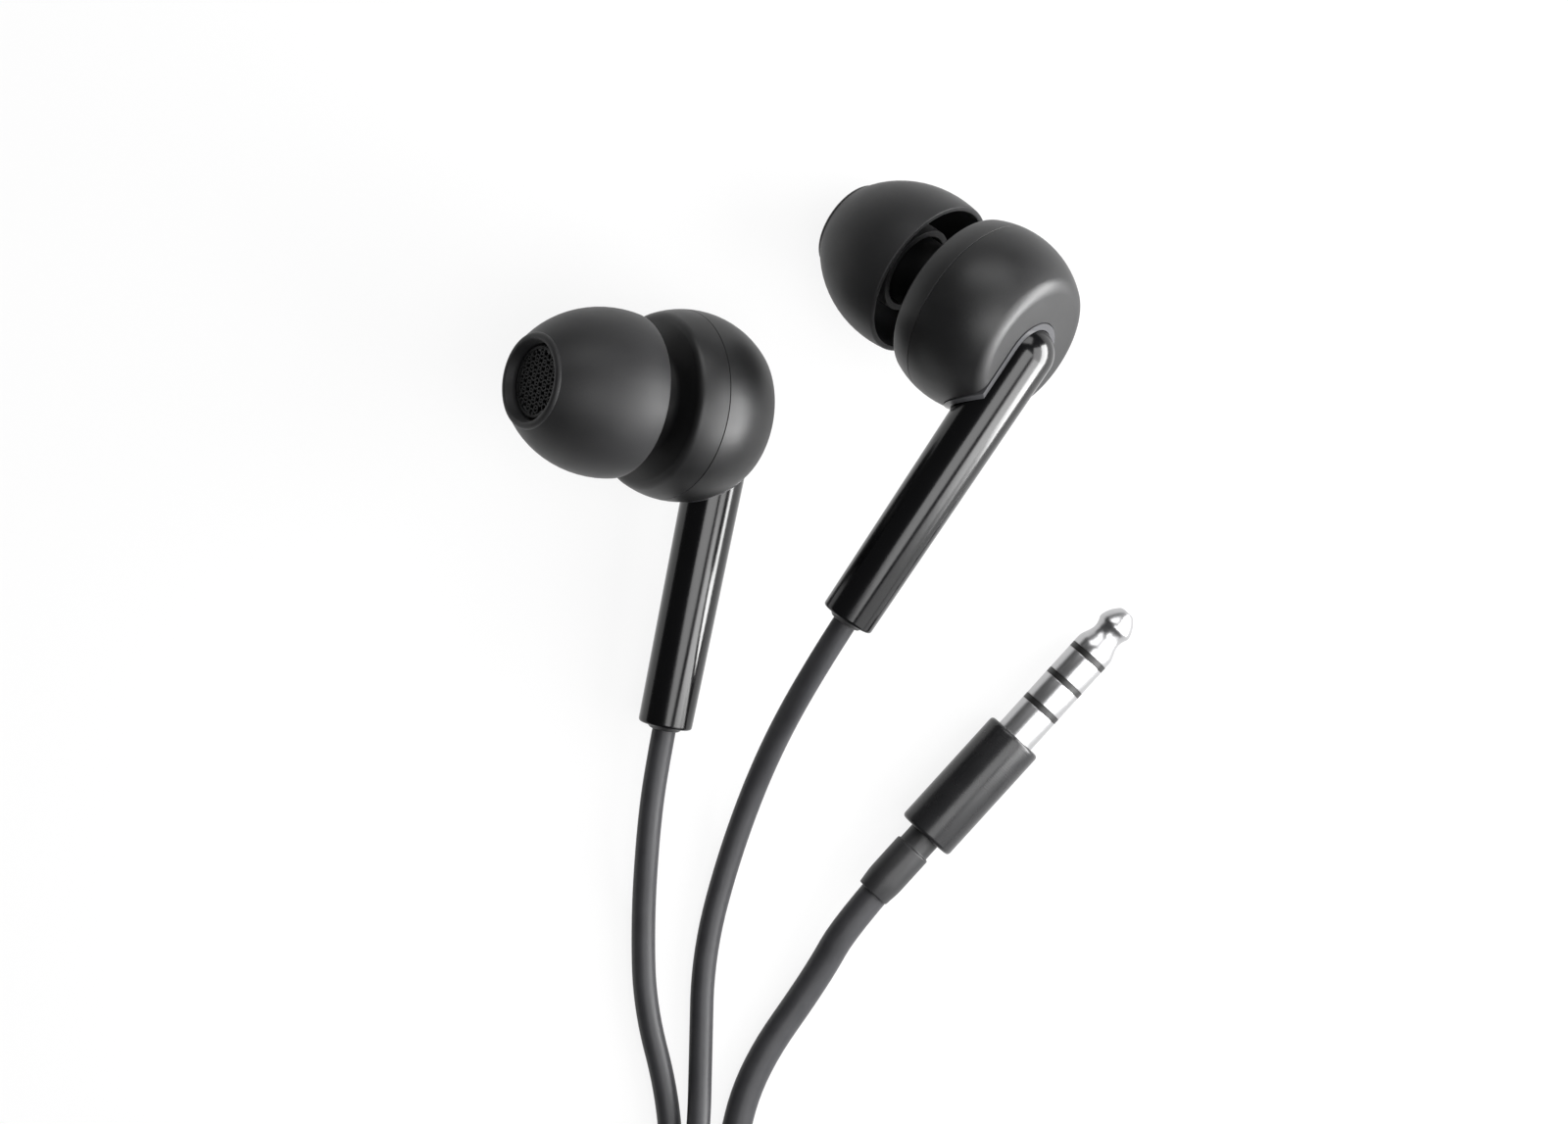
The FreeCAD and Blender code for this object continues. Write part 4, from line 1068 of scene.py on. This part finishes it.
    def bushing(self) -> None:
        """The soft bushing that the cord comes out of."""
        end = -self.stem_length
        corners = [
            Corner(self.bushing_bore, end - self.bushing_proud, soft=0.06),
            Corner(self.bushing_bore, end + self.bushing_length),
            Corner(self.bushing_outer, end + self.bushing_length),
            Corner(self.bushing_outer, end),
            Corner(self.bushing_end, end - self.bushing_proud, soft=0.1),
        ]
        mesh = lathe_mesh(corners, self.stem_axis(), ROUND_SMALL)
        self.add("bushing", mesh, SOFT_RUBBER, "soft_rubber", "stem_bushing")

    def nozzle_mesh(self) -> None:
        """The etched mesh on the nozzle's end."""
        spot = Matrix.Translation((0, 0, self.front + self.nozzle_length))
        mesh = MeshDisc().mesh(self.place() @ spot)
        self.add("mesh", mesh, STEEL_MESH, "steel_mesh", "nozzle_mesh")

    def ear_tip(self) -> None:
        """The silicone tip: a dome with a thin skirt, a lipped mouth and a sleeve."""
        front, back = self.tip_front, self.tip_front - self.tip_length
        sleeve_outer = self.sleeve_bore + self.sleeve_wall
        sleeve_back = front - self.sleeve_length
        corners = [
            Corner(self.rim, back, soft=0.16),
            Corner(self.tip_front_radius, front - self.tip_front_round, self.dome_bend),
            Corner(self.tip_front_radius - self.tip_front_round, front, self.tip_front_round),
            Corner(self.mouth, front, soft=0.12),
            Corner(self.sleeve_bore, front - self.mouth_depth, soft=0.1),
            Corner(self.sleeve_bore, sleeve_back, soft=0.1),
            Corner(sleeve_outer, sleeve_back, soft=0.1),
            Corner(sleeve_outer, front - self.web, soft=0.4),
            Corner(self.rim - self.rim_thickness, back, -self.inner_bend, 0.16),
        ]
        mesh = lathe_mesh(corners, self.place(), ROUND_LARGE)
        body = Body.LEFT_TIP if self.side is Side.LEFT else Body.RIGHT_TIP
        self.add("silicone_tip", mesh, SILICONE, "silicone", "ear_tip", body)

    def inner_pieces(self) -> None:
        """Dresses the pieces inside the housing and the stem, which are the CAD's own."""
        finishes = {
            "driver_frame": NATURAL_PLASTIC,
            "driver_yoke": PLATED_STEEL,
            "driver_magnet": MAGNET,
            "pole_plate": PLATED_STEEL,
            "voice_coil": WINDING,
            "diaphragm": FILM,
            "driver_surround": FILM,
            "driver_damper": PAPER,
            "terminal_board": BOARD,
            "driver_leads": WINDING,
            "cord_knot": JACKET,
        }
        dress({self.name(piece): finish for piece, finish in finishes.items()})

    def build(self) -> None:
        """Builds and dresses the whole bud."""
        self.front_shell()
        self.rear_shell()
        self.collar()
        self.stem()
        self.bushing()
        self.nozzle_mesh()
        self.ear_tip()
        self.inner_pieces()


@dataclass
class Plug:
    """The plug, lying level with its pin along its own Z."""

    across: float = 18.616
    along: float = -23.221
    angle: float = PLUG_HEADING
    pin: float = 1.75
    length: float = 14.0
    bore: float = 0.9
    contact_edge: float = 0.07
    waist: float = 1.3
    waist_at: float = 11.1
    bulb: float = 1.58
    bulb_at: float = 12.3
    bulb_bend: float = 1.75
    point: float = 0.6
    point_bend: float = 2.8
    pin_flange: float = 1.98
    pin_flange_length: float = 3.0
    insulator: float = 0.5
    insulators: tuple[float, float, float] = (3.2, 6.1, 9.0)
    barrel: float = 2.55
    barrel_length: float = 11.2
    barrel_wall: float = 0.55
    end_wall: float = 1.0
    neck: float = 1.42
    neck_gap: float = 0.03
    neck_length: float = 1.5
    relief: float = 1.62
    relief_length: float = 3.6
    relief_end: float = 1.46
    taper_length: float = 1.4
    relief_bore: float = 1.28
    flange: float = 1.9
    flange_length: float = 0.8

    @property
    def relief_front(self) -> float:
        """Where the relief's flange starts inside the barrel, and the cord ends."""
        return -(self.barrel_length - self.end_wall - self.flange_length)

    @property
    def relief_back(self) -> float:
        """Where the relief ends behind the barrel, and the cord comes out."""
        return -(self.barrel_length + self.neck_length + self.relief_length + self.taper_length)

    def place(self) -> Matrix:
        """Finds the plug's frame.

        Returns:
            The frame in millimetres, with its origin on the barrel's front.
        """
        angle = math.radians(self.angle)
        way, down = Vector((math.cos(angle), math.sin(angle), 0)), Vector((0, 0, -1))
        turn = Matrix((down, way.cross(down), way)).transposed().to_4x4()
        return Matrix.Translation((self.across, self.along, self.barrel)) @ turn

    def turned(
        self, name: str, corners: Sequence[Corner], finish: Finish, node: str
    ) -> None:
        """Adds a piece of the plug by its outline. The other arguments are those of add_piece."""
        add_piece(name, lathe_mesh(corners, self.place()), finish, node)

    def pin_contacts(self) -> None:
        """The four contacts of the pin, with edges broken where they meet the insulators."""
        half, pin, bore, edge = self.insulator / 2, self.pin, self.bore, self.contact_edge
        first, second, third = self.insulators
        low = third + half
        tip = [
            Corner(bore, low),
            Corner(pin, low, soft=edge),
            Corner(pin, third + half * 4, soft=0.3),
            Corner(self.waist, self.waist_at, soft=0.35),
            Corner(self.bulb, self.bulb_at, -self.bulb_bend, 0.25),
            Corner(self.point, self.length, self.point_bend, 0.2),
            Corner(0, self.length),
            Corner(0, self.waist_at),
            Corner(bore, self.waist_at),
        ]
        contacts = {"tip": tip}
        for name, start, stop in (("ring_front", second, third), ("ring_rear", first, second)):
            low, high = start + half, stop - half
            contacts[name] = [
                Corner(bore, low),
                Corner(pin, low, soft=edge),
                Corner(pin, high, soft=edge),
                Corner(bore, high),
            ]
        contacts["sleeve"] = [
            Corner(bore, -self.pin_flange_length),
            Corner(self.pin_flange, -self.pin_flange_length),
            Corner(self.pin_flange, 0, soft=0.05),
            Corner(pin, 0),
            Corner(pin, first - half, soft=edge),
            Corner(bore, first - half),
        ]
        for name, corners in contacts.items():
            self.turned(f"pin_{name}", corners, CONTACT, f"jack_{name}")
        dress({"jack_insulators": INSULATOR, "jack_core": INSULATOR})

    def barrel_and_relief(self) -> None:
        """The painted barrel and the moulded relief behind it."""
        back = -self.barrel_length
        inside = back + self.end_wall
        cavity, hole = self.barrel - self.barrel_wall, self.neck + self.neck_gap
        barrel = [
            Corner(cavity, 0, soft=0.05),
            Corner(cavity, inside),
            Corner(hole, inside),
            Corner(hole, back, soft=0.05),
            Corner(self.barrel, back, soft=0.38),
            Corner(self.barrel, 0, soft=0.38),
        ]
        self.turned("barrel", barrel, BARREL, "plug_barrel")
        neck_back = back - self.neck_length
        relief = [
            Corner(self.relief_bore, self.relief_front),
            Corner(self.relief_bore, self.relief_back, soft=0.05),
            Corner(self.relief_end, self.relief_back, soft=0.1),
            Corner(self.relief, neck_back - self.relief_length, soft=0.5),
            Corner(self.relief, neck_back, soft=0.14),
            Corner(self.neck, neck_back, soft=0.14),
            Corner(self.neck, inside),
            Corner(self.flange, inside),
            Corner(self.flange, self.relief_front),
        ]
        self.turned("strain_relief", relief, SOFT_RUBBER, "plug_strain_relief")

    def build(self) -> None:
        """Builds the whole plug."""
        self.pin_contacts()
        self.barrel_and_relief()


@dataclass
class Junction:
    """The case where the three cords meet, with its button, board and microphone."""

    across: float = -11.584
    along: float = -109.521
    length: float = 20.0
    height: float = 5.0
    end_wall: float = 1.8
    spacing: float = 2.5

    def point(self, along: float, side: float) -> Vector:
        """A point at the case's half height, in millimetres from its middle."""
        return Vector((self.across + along, self.along + side, self.height / 2))

    def build(self) -> None:
        """Dresses the case and what is in it, which are the CAD's own."""
        dress(
            {
                "junction_upper_case": CASE,
                "junction_lower_case": CASE,
                "remote_button": SOFT_RUBBER,
                "remote_board": BOARD,
                "remote_switch": PLATED_STEEL,
                "microphone": PLATED_STEEL,
            }
        )


@dataclass
class Coil:
    """A put-away coil: turns that spiral in and out at a steady rate, in layers."""

    across: float
    along: float
    inner: float
    diameter: float
    eighths: int
    layers: int
    base: float
    start: float
    hand: int
    points_per_turn: int = 24
    sharpness: float = 0.995

    @property
    def turn(self) -> float:
        """The whole turn in radians."""
        return TURN * self.eighths / 8

    def heading(self, angle: float) -> float:
        """Which way the coil's centreline is from its middle, at an angle along it."""
        return math.radians(self.start) + self.hand * angle

    def point(self, angle: float) -> Vector:
        """Finds a point of the coil's centreline.

        Args:
            angle: how far along the coil it is, in radians.

        Returns:
            The point in millimetres.
        """
        pitch = self.diameter + COIL_GAP
        per_layer = self.turn / self.layers
        swing = math.asin(self.sharpness * math.cos(math.pi * angle / per_layer))
        swing /= math.asin(self.sharpness)
        radius = self.inner + pitch * per_layer / TURN * (1 + swing) / 2
        level = self.base
        for layer in range(1, self.layers):
            past = max(-1.0, min(1.0, (angle - layer * per_layer) / (math.pi / 2)))
            level += pitch * (1 + math.sin(past * math.pi / 2)) / 2
        heading = self.heading(angle)
        spot = Vector((radius * math.cos(heading), radius * math.sin(heading), level))
        return Vector((self.across, self.along, 0)) + spot

    def way(self, angle: float) -> Vector:
        """The level direction of travel square to the radius at an angle along the coil."""
        heading = self.heading(angle)
        return Vector((-math.sin(heading), math.cos(heading), 0)) * self.hand

    def route(self, lead_in: float, lead_out: float) -> list[Vector]:
        """Lists the coil's control points, with one point on a straight lead at each end.

        Args:
            lead_in: how far before the turns the first point is.
            lead_out: how far after them the last one is.

        Returns:
            Points in millimetres.
        """
        steps = round(self.turn / TURN * self.points_per_turn)
        turns = [self.point(self.turn * step / steps) for step in range(steps + 1)]
        first = turns[0] - self.way(0) * lead_in
        last = turns[-1] + self.way(self.turn) * lead_out
        return [first, *turns, last]


@dataclass
class Cord:
    """A free cord on one smooth open curve."""

    name: str
    route: list[Vector]
    diameter: float
    length: float
    leaves_at: Vector
    far_end: str
    nodes: tuple[str, ...]
    with_nodes: tuple[str, ...]
    steps: int = 8
    round_steps: int = 5
    order: int = 3

    def build(self) -> None:
        """Lays the cord's curve."""
        data = bpy.data.curves.new(self.name, "CURVE")
        data.dimensions = "3D"
        data.resolution_u = self.steps
        data.bevel_depth = self.diameter / 2 * MM
        data.bevel_resolution = self.round_steps
        data.use_fill_caps = True
        spline = data.splines.new("NURBS")
        spline.points.add(len(self.route) - 1)
        for point, spot in zip(spline.points, self.route, strict=True):
            point.co = (*(spot * MM), 1.0)
        spline.order_u = self.order
        spline.use_endpoint_u = True
        data.materials.append(JACKET.build())
        piece = add_object(self.name, data)
        show(piece, Body.MAIN, self.nodes)


@dataclass
class CordSet:
    """The two bud cords and the trunk cord, each from end to end with its coil."""

    left: Bud
    right: Bud
    plug: Plug
    junction: Junction
    left_length: float = 312.0
    right_length: float = 318.0
    trunk_length: float = 821.0
    bud_diameter: float = 2.0
    bud_lead: float = 4.5
    trunk_diameter: float = 2.5
    trunk_lead: float = 5.5
    tuck: float = 0.3
    stem_lead: float = 4.0
    plug_lead: float = 3.0
    trunk_reach: float = 4.2

    @property
    def half(self) -> float:
        """Half of the junction's length, from its middle to where the cords go in."""
        return self.junction.length / 2

    @property
    def inside(self) -> float:
        """How far from the junction's middle the cords end."""
        return self.half - self.junction.end_wall

    def bud_cord(
        self,
        bud: Bud,
        layer: int,
        length: float,
        seen: Sequence[tuple[float, float, float]],
        entry: float,
        tail: Sequence[tuple[float, float, float]],
        reach: float,
    ) -> None:
        """Lays one bud's cord, from inside its stem to inside the junction.

        Args:
            bud: the bud.
            layer: how many layers of turns its coil lies on.
            length: the cord's length.
            seen: points of the stretch in the photograph.
            entry: where the cord turns into its coil, across the table.
            tail: points from the coil to the junction.
            reach: how far before the junction the cord runs straight.
        """
        lift = self.bud_diameter / 2 + layer * (self.bud_diameter + COIL_GAP)
        coil = Coil(
            across=-21.434,
            along=-72.321,
            inner=8.7,
            diameter=self.bud_diameter,
            eighths=25,
            layers=2,
            base=lift,
            start=0,
            hand=-1,
        )
        turns = coil.route(self.bud_diameter, self.bud_lead)
        hole = self.junction.spacing / 2 * (-1 if bud.side is Side.LEFT else 1)
        route = [
            bud.stem_exit(-(bud.bushing_length + self.tuck)),
            bud.stem_exit(self.stem_lead),
            *(Vector(spot) for spot in seen),
            Vector((turns[0].x, entry, turns[0].z)),
            *turns,
            *(Vector(spot) for spot in tail),
            self.junction.point(-self.half - reach, hole),
            self.junction.point(-self.inside, hole),
        ]
        Cord(
            bud.name("bud_cord"),
            route,
            self.bud_diameter,
            length,
            bud.stem_exit(0),
            "fitting",
            (bud.name("cord"), bud.name("cord_coil"), bud.name("cord_tail")),
            ("junction_upper_case", "junction_lower_case", "remote_button"),
        ).build()

    def trunk_cord(self) -> None:
        """Lays the cord from inside the junction to inside the plug."""
        lay = self.trunk_diameter / 2
        coil = Coil(
            across=10.416,
            along=-76.521,
            inner=9.4,
            diameter=self.trunk_diameter,
            eighths=73,
            layers=4,
            base=lay,
            start=180,
            hand=1,
        )
        turns = coil.route(self.trunk_diameter, self.trunk_lead)
        plug_axis = self.plug.place()
        route = [
            plug_axis @ Vector((0, 0, self.plug.relief_front)),
            plug_axis @ Vector((0, 0, self.plug.relief_back - self.plug_lead)),
            Vector((2.031, -43.479, lay)),
            Vector((-3.352, -51.079, lay)),
            Vector((-5.249, -57.879, lay)),
            Vector((turns[0].x, -66.021, lay)),
            *turns,
            Vector((9.066, -98.121, 7.3)),
            Vector((8.616, -104.821, 3.9)),
            self.junction.point(self.half + self.trunk_reach, 0),
            self.junction.point(self.inside, 0),
        ]
        Cord(
            "trunk_cord_line",
            route[::-1],
            self.trunk_diameter,
            self.trunk_length,
            self.junction.point(self.half, 0),
            "plug",
            ("trunk_cord", "trunk_coil", "trunk_tail"),
            ("barrel", "strain_relief", "pin_sleeve", "pin_ring_rear", "pin_ring_front", "pin_tip"),
        ).build()

    def build(self) -> None:
        """Lays all three cords. The points follow the photograph, and past it a tidy way round."""
        lay = self.bud_diameter / 2
        left_seen = (
            (-12.158, -31.879, 2.3),
            (-12.602, -38.879, 1.2),
            (-12.449, -45.979, lay),
            (-10.531, -53.279, lay),
            (-10.08, -59.879, lay),
        )
        left_tail = (
            (-24.884, -90.121, 1.5),
            (-33.284, -94.721, lay),
            (-34.284, -103.321, lay),
        )
        right_seen = (
            (-1.987, -24.379, 3.4),
            (-5.24, -32.879, 1.2),
            (-7.541, -41.579, lay),
            (-7.734, -49.979, lay),
            (-7.886, -57.021, 2.2),
        )
        right_tail = (
            (-23.084, -91.521, 4.9),
            (-29.846, -97.979, 1.55),
            (-29.684, -104.221, lay),
        )
        self.bud_cord(
            self.left,
            layer=0,
            length=self.left_length,
            seen=left_seen,
            entry=-66.379,
            tail=left_tail,
            reach=6.2,
        )
        self.bud_cord(
            self.right,
            layer=2,
            length=self.right_length,
            seen=right_seen,
            entry=-63.521,
            tail=right_tail,
            reach=4.1,
        )
        self.trunk_cord()


@dataclass(frozen=True)
class Lamp:
    """A flat soft lamp that looks at a point. Its place, size and aim are in metres."""

    name: str
    place: tuple[float, float, float]
    aim: tuple[float, float, float]
    width: float
    depth: float
    power: float

    def build(self) -> None:
        """Adds the lamp."""
        data = bpy.data.lights.new(self.name, "AREA")
        data.shape = "RECTANGLE"
        data.size, data.size_y, data.energy = self.width, self.depth, self.power
        lamp = add_object(self.name, data)
        lamp.location = self.place
        way = Vector(self.aim) - Vector(self.place)
        lamp.rotation_euler = way.to_track_quat("-Z", "Y").to_euler()


@dataclass
class Studio:
    """A white table, soft lamps and a camera that looks straight down."""

    camera_height: float = 330.0
    pixels_per_mm: float = 12.1
    picture_width: float = 1600.0
    camera_across: float = -0.724
    camera_along: float = -8.631
    sensor: float = 36.0
    nearest: float = 0.01
    farthest: float = 20.0
    table_half: float = 4.0
    table_gap: float = 0.05
    white_share: float = 0.86
    room_light: float = 0.08
    lamps: tuple[Lamp, ...] = (
        Lamp("key_low", (0.105, -0.012, 0.027), (0.0, -0.008, 0.024), 0.11, 0.045, 0.3),
        Lamp("key_middle", (0.105, -0.028, 0.092), (0.0, -0.02, 0.06), 0.14, 0.078, 0.17),
        Lamp("key_near", (0.1, -0.065, 0.06), (0.0, -0.02, 0.05), 0.03, 0.11, 0.05),
        Lamp("key_side", (0.088, -0.112, 0.07), (0.02, -0.03, 0.02), 0.062, 0.12, 0.036),
        Lamp("key_high", (0.085, -0.082, 0.42), (0.0, 0.0, 0.0), 0.26, 0.24, 0.95),
        Lamp("fill_far", (0.06, 0.45, 0.4), (0.0, 0.0, 0.0), 0.5, 0.3, 1.6),
    )

    def laminate(self) -> bpy.types.Material:
        """Makes the table's surface. What looks at it sees nearly plain white, with a faint shadow.

        Returns:
            The material.
        """
        material = bpy.data.materials.new("table_white_laminate")
        tree = empty_tree(material)
        rays = add_node(tree, "ShaderNodeLightPath").outputs
        highest = {"operation": "MAXIMUM"}
        links = {0: rays["Is Camera Ray"], 1: rays["Is Glossy Ray"]}
        seen = add_node(tree, "ShaderNodeMath", highest, links)
        links = {0: seen.outputs[0], 1: rays["Is Transmission Ray"]}
        also = add_node(tree, "ShaderNodeMath", highest, links)
        part = {"operation": "MULTIPLY", 1: self.white_share}
        share = add_node(tree, "ShaderNodeMath", part, {0: also.outputs[0]})
        matt = add_node(tree, "ShaderNodeBsdfDiffuse", {"Color": linear("#F4F4F4")})
        white = add_node(tree, "ShaderNodeEmission", {"Color": (1, 1, 1, 1), "Strength": 1.0})
        links = {0: share.outputs[0], 1: matt.outputs[0], 2: white.outputs[0]}
        mixed = add_node(tree, "ShaderNodeMixShader", None, links)
        add_node(tree, "ShaderNodeOutputMaterial", None, {"Surface": mixed.outputs[0]})
        return material

    def floor(self) -> None:
        """Lays the table, a hair below the earphones."""
        work = bmesh.new()
        bmesh.ops.create_grid(work, x_segments=2, y_segments=2, size=self.table_half)
        mesh = settled(work, "table_top")
        mesh.transform(Matrix.Translation((0, 0, -self.table_gap * MM)))
        mesh.materials.append(self.laminate())
        add_object("table_top", mesh)

    def world(self) -> None:
        """Adds a dim, even room light."""
        world = bpy.data.worlds.new("room")
        tree = empty_tree(world)
        settings = {"Color": linear("#F2F4F6"), "Strength": self.room_light}
        light = add_node(tree, "ShaderNodeBackground", settings)
        add_node(tree, "ShaderNodeOutputWorld", None, {"Surface": light.outputs[0]})
        bpy.context.scene.world = world

    def camera(self) -> None:
        """Adds the camera, straight above the table."""
        data = bpy.data.cameras.new("camera")
        data.sensor_width = self.sensor
        data.lens = self.sensor * self.camera_height * self.pixels_per_mm / self.picture_width
        data.clip_start, data.clip_end = self.nearest, self.farthest
        camera = add_object("camera", data)
        camera.location = Vector((self.camera_across, self.camera_along, self.camera_height)) * MM
        bpy.context.scene.camera = camera

    def build(self) -> None:
        """Builds table, light and camera."""
        self.floor()
        self.world()
        self.camera()
        for lamp in self.lamps:
            lamp.build()
        bpy.context.scene.view_settings.view_transform = "Standard"


def main() -> None:
    """Builds the scene in order."""
    logging.basicConfig(level=logging.INFO, format="%(message)s")
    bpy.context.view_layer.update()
    Studio().build()
    left = Bud(
        Side.LEFT, across=-9.23, along=4.239, tip_angle=172.1, rise_angle=38.7, stem_angle=258.6
    )
    right = Bud(
        Side.RIGHT, across=15.567, along=11.348, tip_angle=143.1, rise_angle=-28.9, stem_angle=236.5
    )
    plug, junction = Plug(), Junction()
    for assembly in (left, right, plug, junction, CordSet(left, right, plug, junction)):
        assembly.build()


if __name__ == "__main__":
    main()
